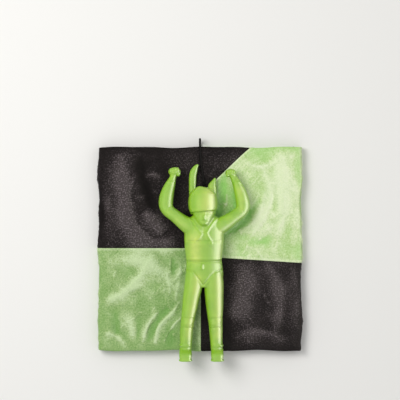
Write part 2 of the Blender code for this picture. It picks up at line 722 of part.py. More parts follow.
def press_relief(mesh):
    count = len(mesh.vertices)
    points = np.empty(count * 3)
    normals = np.empty(count * 3)
    mesh.vertices.foreach_get("co", points)
    mesh.vertices.foreach_get("normal", normals)
    points, normals = points.reshape(-1, 3), normals.reshape(-1, 3)
    x = (points[:, 0] - FIGURE_SIDE) / FIGURE_HEIGHT
    y = (points[:, 1] - SOLE_Y) / FIGURE_HEIGHT
    facing = np.clip(normals[:, 2] * 2, 0, 1)
    rise = np.zeros(count)
    for height, width, line in RELIEF_SHARES:
        away = distance_to_line(x, y, line) / (width * RELIEF_WIDTH_SHARE)
        rise += height * np.exp(-(away ** 2))
    points += normals * (rise * facing * RELIEF_DEPTH_SHARE * FIGURE_HEIGHT)[:, None]
    points[:, 1] = np.maximum(points[:, 1], SOLE_Y)
    points[:, 2] = np.maximum(points[:, 2], FIGURE_BACK_Z)
    mesh.vertices.foreach_set("co", points.ravel())
    mesh.update()


def build_figure(look, collection):
    shells = figure_shells()
    guide = add_object("figure guide", shells, collection, look)
    skin = guide.modifiers.new("one skin", "REMESH")
    skin.mode = "VOXEL"
    skin.voxel_size = MOULD_VOXEL
    soften = guide.modifiers.new("soft mould", "SMOOTH")
    soften.factor = SOFTEN_SHARE
    soften.iterations = SOFTEN_TURNS
    mesh = evaluated_mesh(guide)
    bpy.data.objects.remove(guide, do_unlink=True)
    bpy.data.meshes.remove(shells)
    press_relief(mesh)
    mesh.name = "figure"
    mesh.materials.clear()
    figure = add_object("figure", mesh, collection, look)
    thin = figure.modifiers.new("fewer faces", "DECIMATE")
    thin.ratio = MOULD_TRIANGLE_SHARE
    mesh.shade_smooth()


def hang_on_axis(name, place, pieces, collection):
    # the pieces that move about one axis hang on an empty that lies on it
    axis = bpy.data.objects.new(name, None)
    axis.location = place
    collection.objects.link(axis)
    for piece in pieces:
        thing = collection.objects[piece]
        thing.parent = axis
        thing.matrix_parent_inverse = Matrix.Translation(place).inverted()


def build_toy():
    clear_scene()
    collection = bpy.data.collections.new("toy_parachute")
    bpy.context.scene.collection.children.link(collection)
    black = make_material("black_cloth", BLACK_CLOTH)
    green = make_material("green_cloth", GREEN_CLOTH)
    tape = make_material("hem_tape", BLACK_TAPE)
    net = make_material("net", GREY_NET)
    line = make_material("suspension_line", WHITE_LINE)
    cord = make_material("tether_cord", BLACK_CORD)
    plastic = make_material("lime_plastic", LIME_PLASTIC)
    build_centre_panel("panel_black_head_left", -1, 1, black, collection)
    build_centre_panel("panel_green_head_right", 1, 1, green, collection)
    build_centre_panel("panel_green_foot_left", -1, -1, green, collection)
    build_centre_panel("panel_black_foot_right", 1, -1, black, collection)
    build_centre_hem("hem_head", 1, tape, collection)
    build_centre_hem("hem_foot", -1, tape, collection)
    build_flap_panel("flap_black_head_left", -1, 1, black, collection)
    build_flap_panel("flap_green_foot_left", -1, -1, green, collection)
    build_flap_panel("flap_green_head_right", 1, 1, green, collection)
    build_flap_panel("flap_black_foot_right", 1, -1, black, collection)
    build_flap_hems("left", -1, tape, collection)
    build_flap_hems("right", 1, tape, collection)
    build_nets(net, collection)
    build_lines(line, collection)
    build_gather_knot(line, collection)
    build_tether(cord, collection)
    build_figure(plastic, collection)
    lift_y, lift_z = lift_axis()
    left = ("flap_black_head_left", "flap_green_foot_left", "hem_side_left", "hem_head_left",
            "hem_foot_left")
    right = ("flap_green_head_right", "flap_black_foot_right", "hem_side_right", "hem_head_right",
             "hem_foot_right")
    lifted = ("figure", "tether_bend", "tether_outer", "tether_knot", "tether_loop")
    hang_on_axis("left_fold_axis", (-HINGE_X, PACK_CENTRE_Y, HINGE_Z), left, collection)
    hang_on_axis("right_fold_axis", (HINGE_X, PACK_CENTRE_Y, HINGE_Z), right, collection)
    hang_on_axis("tether_lift_axis", (0.0, lift_y, lift_z), lifted, collection)


build_toy()
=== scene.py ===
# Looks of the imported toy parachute: cloth, tapes, nets, lines, tether and the moulded parachutist.
# Metres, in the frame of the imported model: +Z up, +Y towards the parachutist's head.
import json
import math

import bmesh
import bpy
import numpy as np
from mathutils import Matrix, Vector


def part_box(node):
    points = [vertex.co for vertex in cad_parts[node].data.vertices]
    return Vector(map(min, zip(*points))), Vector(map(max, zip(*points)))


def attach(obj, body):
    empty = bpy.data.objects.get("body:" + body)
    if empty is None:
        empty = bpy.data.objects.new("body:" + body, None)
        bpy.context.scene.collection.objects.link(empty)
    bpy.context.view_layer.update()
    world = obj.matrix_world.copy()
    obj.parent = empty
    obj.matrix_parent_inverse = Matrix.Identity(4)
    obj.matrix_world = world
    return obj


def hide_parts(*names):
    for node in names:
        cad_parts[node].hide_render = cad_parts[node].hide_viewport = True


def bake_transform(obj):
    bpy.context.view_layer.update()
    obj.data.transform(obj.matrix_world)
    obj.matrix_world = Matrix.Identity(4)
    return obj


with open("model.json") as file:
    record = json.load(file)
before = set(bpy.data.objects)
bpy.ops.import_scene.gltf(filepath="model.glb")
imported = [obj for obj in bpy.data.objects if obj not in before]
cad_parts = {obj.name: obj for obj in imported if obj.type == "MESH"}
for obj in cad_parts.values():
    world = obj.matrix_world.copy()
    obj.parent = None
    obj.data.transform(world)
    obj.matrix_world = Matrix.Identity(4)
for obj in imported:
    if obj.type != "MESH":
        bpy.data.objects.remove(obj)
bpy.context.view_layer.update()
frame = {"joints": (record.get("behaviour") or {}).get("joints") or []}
print("frame loaded")


def tone(red, green, blue):
    # a colour as it looks on a screen, 0 to 255, as the linear values that shaders take
    shares = [value / 255 for value in (red, green, blue)]
    linear = [s / 12.92 if s <= 0.04045 else ((s + 0.055) / 1.055) ** 2.4 for s in shares]
    return (*linear, 1.0)


# Camera and light

view = {
    "aim": (0.0, 0.0375),       # the middle of the picture, on the packet
    "distance": 1.40,           # above the middle height of the parachutist
    "middleHeight": 0.0155,
    "pictureWidth": 0.2805,     # what the picture spans at that height
    "sensor": 36.0,
    "near": 0.05, "far": 20.0,
}
lamps = {
    # place, length along Y and height, watts, colour, whether it lights surfaces and shows in their gloss
    "keyLamp": ((-0.39, 0.27, 0.71), (0.42, 0.42), 4.1, (1.0, 0.985, 0.955), True, False),
    "sideLamp": ((0.52, -0.02, 0.36), (0.95, 0.54), 9.4, (1.0, 0.93, 0.80), False, True),
    "softLamp": ((-0.25, 0.04, 0.56), (0.60, 0.32), 0.8, (1.0, 0.88, 0.70), False, True),
}
lampAim = (0.0, 0.0, 0.01)
skyStrength = 0.56


def addObject(name, data):
    thing = bpy.data.objects.new(name, data)
    bpy.context.scene.collection.objects.link(thing)
    return thing


def makeCamera():
    data = bpy.data.cameras.new("camera")
    data.sensor_width = view["sensor"]
    data.lens = view["sensor"] * view["distance"] / view["pictureWidth"]
    data.clip_start, data.clip_end = view["near"], view["far"]
    camera = addObject("camera", data)
    camera.location = (*view["aim"], view["middleHeight"] + view["distance"])
    bpy.context.scene.camera = camera


def makeLamps():
    for name, (place, size, watts, colour, lights, shows) in lamps.items():
        data = bpy.data.lights.new(name, "AREA")
        data.shape = "RECTANGLE"
        data.size, data.size_y = size
        data.energy, data.color = watts, colour
        lamp = addObject(name, data)
        lamp.location = place
        lamp.rotation_mode = "QUATERNION"
        lamp.rotation_quaternion = (Vector(lampAim) - Vector(place)).to_track_quat("-Z", "Y")
        lamp.visible_diffuse, lamp.visible_glossy, lamp.visible_camera = lights, shows, False
    world = bpy.data.worlds.new("studio")
    bpy.context.scene.world = world
    world.use_nodes = True
    sky = world.node_tree.nodes["Background"]
    sky.inputs["Color"].default_value = (1.0, 1.0, 1.0, 1.0)
    sky.inputs["Strength"].default_value = skyStrength


makeCamera()
makeLamps()
print("camera and lamps placed")


# Node helpers, for materials and for Geometry Nodes

def fill(tree, socket, value):
    # links the socket to another one or to a node's first output, or else sets its value
    if isinstance(value, bpy.types.Node):
        value = value.outputs[0]
    if isinstance(value, bpy.types.NodeSocket):
        tree.links.new(value, socket)
    else:
        socket.default_value = value


def addNode(tree, kind, settings=None, **inputs):
    # a node with its settings; in an input's name an underscore stands for a space
    node = tree.nodes.new(kind)
    for name, value in (settings or {}).items():
        setattr(node, name, value)
    for name, value in inputs.items():
        fill(tree, node.inputs[name.replace("_", " ")], value)
    return node


def calc(tree, operation, *values):
    node = addNode(tree, "ShaderNodeMath", {"operation": operation})
    for socket, value in zip(node.inputs, values):
        fill(tree, socket, value)
    return node.outputs[0]


def noise(tree, place, scale, **more):
    return addNode(tree, "ShaderNodeTexNoise", Vector=place, Scale=scale, **more).outputs["Fac"]


def attribute(tree, word):
    return addNode(tree, "ShaderNodeAttribute", {"attribute_name": word}).outputs["Fac"]


def stretch(tree, value, low, high, toLow=0.0, toHigh=1.0):
    # the value moved from one range to another, and kept inside it
    return addNode(tree, "ShaderNodeMapRange", Value=value, From_Min=low, From_Max=high,
                   To_Min=toLow, To_Max=toHigh).outputs["Result"]


def mix(tree, kind, factor, first, second):
    # between two tones (RGBA) or two numbers (FLOAT)
    node = addNode(tree, "ShaderNodeMix", {"data_type": kind}, Factor=factor)
    start, result = {"FLOAT": (2, 0), "RGBA": (6, 2)}[kind]
    fill(tree, node.inputs[start], first)
    fill(tree, node.inputs[start + 1], second)
    return node.outputs[result]


def newTree(kind, name, inputs, outputs):
    # each input and output has a label and a kind of socket, and an input may have a value
    tree = bpy.data.node_groups.new(name, kind)
    for way, rows in (("INPUT", inputs), ("OUTPUT", outputs)):
        for label, socketKind, *value in rows:
            socket = tree.interface.new_socket(name=label, in_out=way, socket_type="NodeSocket" + socketKind)
            if value:
                socket.default_value = value[0]
    return tree, tree.nodes.new("NodeGroupInput").outputs, tree.nodes.new("NodeGroupOutput").inputs


def newMaterial(name, look):
    # look: roughness and any other value that is the same all over
    material = bpy.data.materials.new(name)
    material.use_nodes = True
    shader = material.node_tree.nodes["Principled BSDF"]
    for label, value in look.items():
        shader.inputs[label].default_value = value
    return material, material.node_tree, shader


def dress(tree, shader, colour, height, strength, distance, rough=None):
    # colour, grain and, where it is given, the roughness that varies over the surface
    grain = addNode(tree, "ShaderNodeBump", Height=height, Strength=strength, Distance=distance)
    tree.links.new(colour, shader.inputs["Base Color"])
    tree.links.new(grain.outputs["Normal"], shader.inputs["Normal"])
    if rough:
        tree.links.new(rough, shader.inputs["Roughness"])


def makeWeaveGroup():
    # thin woven nylon: threads and uneven yarn, with painted glints, painted highlights on creases and
    # raised cloth, and painted shade in the hollows
    group, start, end = newTree("ShaderNodeTree", "thin nylon", (
        ("Vector", "Vector"), ("Threads", "Float", 9000.0), ("Grain", "Float", 900.0),
        ("Patch", "Float", 56.0), ("Dark", "Color"), ("Light", "Color"), ("Speck", "Float", 0.5),
        ("Glint", "Color"), ("Glint Amount", "Float", 0.3), ("Crest", "Float", 0.0),
        ("Crease Tone", "Color"), ("Hollow Tone", "Color"), ("Crease Amount", "Float", 0.5),
        ("Crinkle", "Float", 165.0), ("Crinkle Amount", "Float", 0.3)),
        (("Color", "Color"), ("Height", "Float"), ("Sheen Mask", "Float")))
    place, crest, amount = start["Vector"], start["Crest"], start["Crease Amount"]
    axes = addNode(group, "ShaderNodeSeparateXYZ", Vector=place).outputs
    weave = calc(group, "MULTIPLY", *(
        calc(group, "SINE", calc(group, "MULTIPLY", axes[axis], start["Threads"])) for axis in ("X", "Y")))
    grain = noise(group, place, start["Grain"], Detail=3.0, Roughness=0.65)
    patch = noise(group, place, start["Patch"], Detail=4.0, Roughness=0.68, Distortion=0.8)
    glintSpecks = noise(group, place, 1000.0, Detail=1.0)
    broad = stretch(group, patch, 0.34, 0.66)
    crinkle = makeCrinkles(group, place, start["Crinkle"], patch)
    share = mix(group, "FLOAT", start["Speck"], broad, stretch(group, grain, 0.36, 0.64))
    yarn = mix(group, "RGBA", share, start["Dark"], start["Light"])
    # painted highlight on crests and crinkle lines, painted shade in the hollows
    pinched = calc(group, "MULTIPLY_ADD", crinkle, start["Crinkle Amount"], crest)
    up = calc(group, "MULTIPLY", stretch(group, pinched, 0.0, 1.0), amount)
    down = calc(group, "MULTIPLY", stretch(group, crest, 0.0, -1.0), amount)
    # painted glints: bright specks in the colour, most where the cloth is raised
    glint = calc(group, "MULTIPLY", stretch(group, glintSpecks, 0.50, 0.68), stretch(group, crest, -0.5, 0.7))
    glint = calc(group, "MULTIPLY", glint, start["Glint Amount"])
    crestHighlighted = mix(group, "RGBA", up, yarn, start["Crease Tone"])
    hollowShaded = mix(group, "RGBA", down, crestHighlighted, start["Hollow Tone"])
    height = calc(group, "MULTIPLY_ADD", weave, 0.25, grain)
    fill(group, end["Color"], mix(group, "RGBA", glint, hollowShaded, start["Glint"]))
    fill(group, end["Height"], calc(group, "MULTIPLY_ADD", crinkle, 1.2, height))
    fill(group, end["Sheen Mask"], calc(group, "SUBTRACT", broad, glint))
    return group


def makeCrinkles(group, place, scale, patchy):
    # thin broken lines of two sizes, as thin nylon keeps them after it was crushed; they raise the bump, and
    # the colour paints them pale as painted highlights
    lines = []
    for share, narrow in ((1.15, 0.060), (2.4, 0.085)):
        field = noise(group, place, calc(group, "MULTIPLY", scale, share), Detail=2.5, Roughness=0.55,
                      Distortion=1.2)
        off = calc(group, "ABSOLUTE", calc(group, "SUBTRACT", field, 0.5))
        lines.append(stretch(group, off, narrow, 0.0))
    return calc(group, "MULTIPLY", calc(group, "MAXIMUM", *lines), stretch(group, patchy, 0.40, 0.62))


weaveGroup = makeWeaveGroup()
clothGrain = 0.00008        # height of the weave

cloths = {
    # weave: the inputs of the weave group; then the roughness range, sheen, shine, and the share of the
    # painted highlight and painted shade of creases that wide swells get
    "black cloth": {
        "weave": {"Dark": tone(16, 14, 14), "Light": tone(44, 39, 39), "Speck": 0.55,
                  "Glint": tone(142, 131, 135), "Glint Amount": 0.50, "Crease Tone": tone(74, 68, 68),
                  "Hollow Tone": tone(7, 6, 6), "Crease Amount": 0.82, "Crinkle Amount": 0.30},
        "rough": (0.46, 0.66), "sheen": 0.0, "shine": 0.07, "swell": 0.80},
    "green cloth": {
        "weave": {"Dark": tone(148, 190, 100), "Light": tone(208, 227, 167), "Speck": 0.62,
                  "Glint": tone(238, 246, 222), "Glint Amount": 0.32, "Crease Tone": tone(230, 241, 204),
                  "Hollow Tone": tone(118, 200, 72), "Crease Amount": 0.72, "Crinkle Amount": 0.90},
        "rough": (0.36, 0.52), "sheen": 0.04, "shine": 0.5, "swell": 0.85},
    # the green cloth again, painted darker as painted shade for the lower-left panel
    "deep green cloth": {
        "weave": {"Dark": tone(98, 139, 58), "Light": tone(174, 200, 134), "Speck": 0.66,
                  "Glint": tone(218, 234, 196), "Glint Amount": 0.40, "Crease Tone": tone(204, 225, 176),
                  "Hollow Tone": tone(86, 148, 50), "Crease Amount": 0.70, "Crinkle Amount": 0.95},
        "rough": (0.36, 0.54), "sheen": 0.04, "shine": 0.5, "swell": 0.80},
    "hem tape": {
        "weave": {"Dark": tone(32, 29, 29), "Light": tone(54, 50, 49), "Speck": 0.5,
                  "Glint": tone(90, 88, 88), "Glint Amount": 0.15, "Crease Tone": tone(70, 66, 66),
                  "Hollow Tone": tone(24, 22, 22), "Crease Amount": 0.3, "Crinkle Amount": 0.0},
        "rough": (0.62, 0.80), "sheen": 0.10, "shine": 0.4, "swell": 0.0},
}
plastic = {
    # pale: the tone of the painted highlights along the front
    "dark": tone(129, 181, 18), "light": tone(145, 193, 28), "pale": tone(196, 215, 92),
    "rough": (0.44, 0.50), "grain": 0.00012,
    "all over": {"Subsurface Weight": 0.25, "Subsurface Scale": 0.004, "Subsurface Radius": (0.6, 1.0, 0.2),
                 "IOR": 1.6, "Specular IOR Level": 0.7, "Coat Weight": 0.8, "Coat Roughness": 0.34},
}
yarns = {
    # roughness, shine, how fine the fibres are and how high, dark and light tone
    "net yarn": (0.75, 0.5, 700.0, 0.00003, tone(98, 98, 95), tone(138, 138, 134)),
    "line yarn": (0.68, 0.5, 1500.0, 0.00003, tone(186, 186, 180), tone(222, 222, 216)),
    "cord yarn": (0.74, 0.1, 1500.0, 0.00004, tone(11, 11, 11), tone(27, 26, 27)),
    "green thread": (0.55, 0.5, 2000.0, 0.00002, tone(170, 200, 132), tone(214, 232, 186)),
    "black thread": (0.60, 0.5, 2000.0, 0.00002, tone(30, 28, 28), tone(58, 55, 54)),
}


def makeCloth(name, look):
    material, tree, shader = newMaterial(name, {
        "Sheen Weight": look["sheen"], "Sheen Roughness": 0.4, "Specular IOR Level": look["shine"]})
    flat = addNode(tree, "ShaderNodeUVMap", {"uv_map": "flat"})
    real = addNode(tree, "ShaderNodeMapping", Vector=flat.outputs["UV"],
                   Scale=(canopy["side"], canopy["side"], 1.0))
    # crests and swells: where the cloth is painted lighter as painted highlight and darker as painted shade
    raised = calc(tree, "MULTIPLY_ADD", attribute(tree, "swell"), look["swell"], attribute(tree, "crest"))
    weave = addNode(tree, "ShaderNodeGroup", {"node_tree": weaveGroup}, Vector=real.outputs["Vector"],
                    Crest=raised, **look["weave"]).outputs
    rough = stretch(tree, weave["Sheen Mask"], 0.0, 1.0, *look["rough"])
    dress(tree, shader, weave["Color"], weave["Height"], 0.9, clothGrain, rough)
    return material


def makePlastic(name, look):
    # soft moulded plastic: waxy, a little uneven, with painted highlights along the front and a thin gloss
    material, tree, shader = newMaterial(name, look["all over"])
    place = addNode(tree, "ShaderNodeTexCoord").outputs["Object"]
    flow = noise(tree, place, 60.0, Detail=3.0, Distortion=1.5)
    fine = noise(tree, place, 900.0, Detail=2.0)
    uneven = stretch(tree, flow, 0.3, 0.7)
    # painted highlights: the marks along the front, broken up by the uneven noise
    marks = calc(tree, "MULTIPLY", attribute(tree, "flow"), stretch(tree, flow, 0.2, 0.6, 0.6, 1.0))
    mixed = mix(tree, "RGBA", marks, mix(tree, "RGBA", uneven, look["dark"], look["light"]), look["pale"])
    height = calc(tree, "MULTIPLY_ADD", fine, 0.12, flow)
    dress(tree, shader, mixed, height, 0.5, look["grain"], stretch(tree, flow, 0.3, 0.7, *look["rough"]))
    return material


def makeYarn(name, rough, shine, fineness, height, dark, light):
    # spun or braided cord: colour and height vary along the strand
    material, tree, shader = newMaterial(name, {"Roughness": rough, "Specular IOR Level": shine})
    place = addNode(tree, "ShaderNodeTexCoord").outputs["Object"]
    fuzz = noise(tree, place, fineness, Detail=3.0)
    dress(tree, shader, mix(tree, "RGBA", stretch(tree, fuzz, 0.3, 0.7), dark, light), fuzz, 0.6, height)
    return material


# Canopy: the flat cloth and how it is folded

canopy = {
    "side": 0.430,              # cut size of the square canopy
    "panelWidth": 0.215,
    "layer": 0.0007,            # from one folded layer to the next
    "cadCloth": 0.00035,        # thickness that the folds are laid out for
    "cloth": 0.00024,           # thickness of the cloth itself
    "foldRoom": 0.0014,         # by which the packet is wider than a third of the cloth
    "edgeMargin": 0.0018,       # by which a rolled side third's edge stops short
    "tapeWidth": 0.0040,
    "tapeThickness": 0.00046,
    "channelHalf": 0.00195,     # half the gap between the rolled side thirds
    "centreY": 0.0030,          # the packet's middle
    "diagonalStart": 0.0326,    # from the head edge, where the middle seam turns off
    "diagonalRun": 0.0355,
    "seamDrift": 0.0047,
    "seamSlant": 0.0045,
    "foldWidth": 0.0060,
    "spineRun": 0.0109,         # cloth that goes round the packet's side
    "spinePower": 3.0,
    "seamTuck": 0.00030,        # how far black cloth dips under green at a seam
    "seamLap": 0.0006,
    "seamReach": 0.0009,        # how far from a seam cloth still dips or rises
    "seamRise": 0.00006,
    "seamAllowance": 0.0040,    # the doubled cloth beside a seam
    "allowanceEdge": 0.0006,
    "allowanceRise": 0.00013,
    "seamPale": 0.55,           # painted highlight on green cloth along a seam
    "tapeLap": 0.0003,          # how far a panel reaches under its tape
    "frontStep": 0.00055,       # how finely the front is cut, the sides and the rolls
    "sideStep": 0.0006,
    "rollStep": 0.00040,
}
layer = canopy["layer"]
halfPly = canopy["cadCloth"] / 2
packHalf = (canopy["side"] / 3 + canopy["foldRoom"]) / 2
slabHalf = packHalf - halfPly - 3 * layer
rollRadius = 2.5 * layer
rollMiddle = 1.5 * layer
hinges = {joint["name"]: joint["pos_m"] for joint in frame["joints"]}
hingeZ = hinges["flap_left_fold"][2]
packHeight = 2 * hingeZ
flapHeight = 2 * rollRadius + canopy["cadCloth"]
firstRun = slabHalf - (canopy["channelHalf"] + rollRadius + halfPly)
rollRun = math.pi * rollMiddle
flapLength = 2 * firstRun + rollRun - canopy["edgeMargin"]
edgeRun = slabHalf + canopy["spineRun"] + flapLength   # the canopy's edge, from the middle seam


def foldAlong(v, lift):
    # the head and foot thirds fold behind the middle one; lift is towards the cloth's outer face
    radius = np.where(v > 0, layer / 2, layer)
    front = packHalf - radius - halfPly
    run = np.abs(v)
    turn = np.clip((run - front) / radius, 0.0, math.pi)
    past = np.maximum(run - front - math.pi * radius, 0.0)
    y = np.minimum(run, front) + (radius + lift) * np.sin(turn) - past
    depth = radius - (radius + lift) * np.cos(turn)
    return np.sign(v) * y, depth, turn


def foldAcross(s, depth):
    # s runs across from the middle seam: front, round the side, then rolled in underneath
    turn = np.clip((s - slabHalf) / canopy["spineRun"], 0.0, 1.0) * math.pi
    power = 2 / canopy["spinePower"]
    tall = packHeight - halfPly - hingeZ - depth
    x = np.minimum(s, slabHalf) + (3 * layer - depth) * np.sin(turn) ** power
    z = hingeZ + tall * np.sign(np.cos(turn)) * np.abs(np.cos(turn)) ** power
    run = s - slabHalf - canopy["spineRun"]
    radius = rollRadius - depth
    roll = np.clip((run - firstRun) / rollMiddle, 0.0, math.pi)
    back = np.maximum(run - firstRun - rollRun, 0.0)
    flapX = slabHalf - np.minimum(run, firstRun) - radius * np.sin(roll) + back
    flapZ = halfPly + rollRadius - radius * np.cos(roll)
    onFlap = run > 0
    return np.where(onFlap, flapX, x), np.where(onFlap, flapZ, z)


def seamX(v):
    # the seam between the left and right panels, at v from the middle
    front = packHalf - layer / 2 - halfPly
    start = packHalf - canopy["diagonalStart"]
    run = canopy["diagonalRun"]
    up = np.clip((v - start) / (front - start), 0.0, 1.0)
    back = np.clip((v - front) / run, 0.0, 1.0)
    return run * (up - back)


def seamDrift(x, y):
    # how much lower than the left panels the right ones lie on the front
    drift = canopy["seamDrift"] * np.clip(x / canopy["foldWidth"], 0.0, 1.0)
    drift = drift + canopy["seamSlant"] * np.clip(x / slabHalf, 0.0, 1.0)
    return -drift * np.clip(1 - np.abs(y) / packHalf, 0.0, 1.0)


def curveThrough(given, cuts):
    # points on a smooth curve through the given ones; cuts says how many each stretch has
    given = [np.array(p, float) for p in given]
    given = [2 * given[0] - given[1]] + given + [2 * given[-1] - given[-2]]
    found = []
    for a, b, c, d in zip(given, given[1:], given[2:], given[3:]):
        count = cuts(b, c)
        for t in (i / count for i in range(count)):
            found.append(0.5 * (2 * b + (c - a) * t + (2 * a - 5 * b + 4 * c - d) * t ** 2
                                + (3 * b - a - 3 * c + d) * t ** 3))
    return np.array(found + [given[-2]])


def smoothPath(points, step):
    return curveThrough(points, lambda b, c: max(1, round(float(np.linalg.norm(c - b)) / step)))


def runsAlong(points):
    # the distance along a path at each of its points
    return np.concatenate([[0], np.cumsum(np.linalg.norm(np.diff(points, axis=0), axis=1))])


def evenPath(points, step):
    # the same path with points an even step apart
    points = np.array(points, float)
    runs = runsAlong(points)
    marks = np.linspace(0, runs[-1], max(2, round(runs[-1] / step)) + 1)
    return np.stack([np.interp(marks, runs, points[:, k]) for k in range(3)], axis=-1)


# Wrinkles. All that lies in the packet is moved by the same function, so layers never cross.

wrinkles = {
    # folds of the front: path in hundredths of half the packet, height and half width in millimetres,
    # lean of the steep side; a height below zero is a hollow
    "folds": (
        (((-78, 94), (-73, 66), (-70, 42), (-65, 24), (-55, 12), (-40, 6), (-22, 10)), 2.1, 7.0, 0.40),
        (((-54, 38), (-46, 28), (-34, 16)), 1.5, 5.0, 0.7),
        (((-55, 70), (-46, 73), (-36, 69)), 0.7, 2.6, 0.6),
        (((-92, 66), (-93, 30), (-96, 6)), 0.4, 2.4, 1.4),
        (((-66, 52), (-60, 50), (-52, 53)), 0.5, 1.8, 0.6),
        (((60, 80), (68, 62), (69, 47), (63, 32), (53, 17), (41, 3)), 1.0, 2.8, 0.5),
        (((79, 92), (82, 48), (77, 10)), 1.3, 4.6, 0.7),
        (((90, 72), (96, 40), (91, 2)), 0.8, 2.6, 1.5),
        (((34, 16), (50, 24), (60, 40), (62, 58)), 0.8, 2.2, 0.5),
        (((40, 88), (56, 80), (78, 86)), 0.6, 2.4, 0.6),
        (((24, 60), (26, 50), (26, 40)), 0.4, 1.2, 0.6),
        (((17, 42), (22, 45), (28, 43)), 0.5, 1.3, 0.6),
        (((36, 16), (48, 8), (62, 7), (72, 16)), -0.65, 3.6, 1.0),
        # hollows beside the arms
        (((25, 78), (22, 58), (20, 40), (14, 28)), -1.3, 3.0, 1.0),
        (((-60, 92), (-57, 70), (-50, 52), (-42, 34)), -1.1, 3.4, 1.0),
        (((-99, 60), (-97, 34), (-98, 8)), -0.8, 3.0, 1.0),
        (((59, 50), (47, 33), (36, 21), (20, 11)), -1.05, 3.2, 1.0),
        (((34, 66), (36, 46), (29, 30), (16, 25)), -1.0, 3.4, 1.0),
        # creases and hollows at the parachutist's left foot
        (((-44, -94), (-41, -78), (-35, -70), (-26, -61), (-20, -50)), 1.7, 1.4, 0.6),
        (((-52, -92), (-46.5, -76.6), (-39, -66), (-30, -57)), -1.7, 1.9, 1.0),
        (((-56, -92), (-52.5, -79), (-48, -69), (-40, -60)), 1.1, 1.2, 1.3),
        (((-29, -96), (-30, -84), (-28, -76)), -1.2, 2.0, 1.0),
        (((-27, -7), (-26, -16), (-27, -26)), -1.0, 1.8, 1.0),
        (((-83, -58), (-82, -74), (-84, -92)), -0.9, 2.6, 1.0),
        (((-62, -62), (-60, -76), (-63, -92)), -0.7, 2.4, 1.0),
        (((-36, -92), (-30, -80), (-22, -70), (-16, -66)), 0.8, 1.0, 0.6),
        (((-76, -62), (-68, -74), (-64, -92)), 1.0, 2.4, 1.6),
        (((-98, -52), (-74, -42), (-54, -20), (-46, -4)), 1.2, 4.0, 0.6),
        (((-86, -10), (-62, -12), (-40, -22), (-22, -40)), 0.9, 3.2, 1.4),
        (((-96, -80), (-80, -86), (-70, -98)), 0.8, 2.6, 0.6),
        (((-33, -22), (-30, -34), (-30, -46)), 0.6, 1.4, 0.6),
        (((-18, -16), (-21, -36), (-24, -52)), 0.7, 1.5, 0.6),
        (((42, -12), (44, -34), (38, -56), (30, -70)), 1.6, 5.2, 1.5),
        (((62, -10), (74, -30), (78, -56), (74, -84)), 1.2, 4.2, 0.6),
        (((30, -88), (52, -80), (86, -88)), 0.8, 3.0, 0.7),
        (((90, -14), (95, -48), (92, -80)), 0.8, 2.6, 1.4),
    ),
    "crumple": {"seed": 11, "lines": 8, "wave": 0.026, "warp": 0.0055, "height": 0.00110, "sharp": 1.8},
    "crease": {"seed": 31, "lines": 8, "wave": 0.0140, "warp": 0.0036, "height": 0.00062, "sharp": 3.0},
    "fine": {"seed": 5, "lines": 7, "wave": 0.0062, "warp": 0.0016, "height": 0.00015, "sharp": 2.0},
    "under": {"seed": 23, "lines": 7, "wave": 0.028, "warp": 0.006, "height": 0.00050, "sharp": 2.2},
    "underCrease": {"seed": 41, "lines": 8, "wave": 0.0120, "warp": 0.003, "height": 0.00030, "sharp": 3.0},
    "pleats": {"seed": 17, "lines": 7, "wave": 0.0100, "warp": 0.0022, "height": 0.00085, "sharp": 2.2},
    "pleatShift": 0.05,         # so that the packet's two sides get pleats of their own
    # side pleats painted lighter where they stand out and darker where they sink, as painted highlight and
    # shade
    "pleatTone": 1.3,
    # how the packet's edges wave: height, then wavelength and phase of a long and a short wave
    "edgeWave": 0.00035, "inward": 1.6, "shortShare": 0.6, "twist": 0.4,
    "sway": ((0.0085, 1.3), (0.0041, 2.0)), "nod": ((0.0095, 0.5), (0.0047, 2.2)),
    # where the front's folds die out: past the sides and the ends, over what width, to what share
    "pastSides": 0.002, "pastEnds": 0.001, "edgeFade": 0.008, "edgeShare": 0.10,
    "underQuiet": 0.4, "underRim": 0.001, "underFade": 0.006,
    "deepest": -0.00005,
    "underShare": 0.55,         # how much of the painted highlight and shade of creases and swells shows beyond the front
    # how high cloth may rise within figureReach of the parachutist's middle line, and beyond it
    "roomUnderFigure": 0.0021, "roomElsewhere": 0.0055, "figureReach": 0.026, "figureFade": 0.012,
    "pinches": {
        "turn": 0.7, "bow": 0.25, "lean": (0.5, 1.6), "margin": 0.004,
        "seed": 9, "length": (0.005, 0.015), "height": (0.00012, 0.00042), "width": (0.0006, 0.0013),
        # middle, spread, how many, direction
        "places": ((0.24, 0.48, 0.07, 10, 1.2), (0.48, 0.12, 0.12, 26, 0.7), (0.62, 0.50, 0.16, 20, 1.6),
                   (0.66, 0.20, 0.16, 12, 1.0), (-0.24, -0.32, 0.12, 34, 1.5), (-0.30, -0.74, 0.12, 26, 1.0),
                   (-0.68, -0.50, 0.18, 14, 0.8), (-0.62, 0.44, 0.16, 14, 1.4), (-0.42, 0.12, 0.12, 10, 0.3),
                   (0.56, -0.44, 0.20, 16, 1.8), (0.06, 0.66, 0.08, 8, 1.2), (-0.70, 0.74, 0.12, 8, 0.6)),
    },
    "mapStep": 0.0003, "mapHalf": 0.080,    # the maps of how far cloth rises: cell and half size
    # creases: how far round itself a point is compared, what counts as full, what is ignored
    "creaseReach": 0.0015, "creaseFull": 0.00034, "creaseIgnored": 0.20,
    # swells: how much of one comes from the unnamed crumpling; full is in standard deviations
    "swellReach": 0.0007, "swellShare": 0.40, "swellFull": 1.6,
}
figureX = 0.0028                # the parachutist's middle, from the packet's middle
contact = {"centre": (figureX, 0.0122), "half": (0.0100, 0.0110), "fade": 0.005}


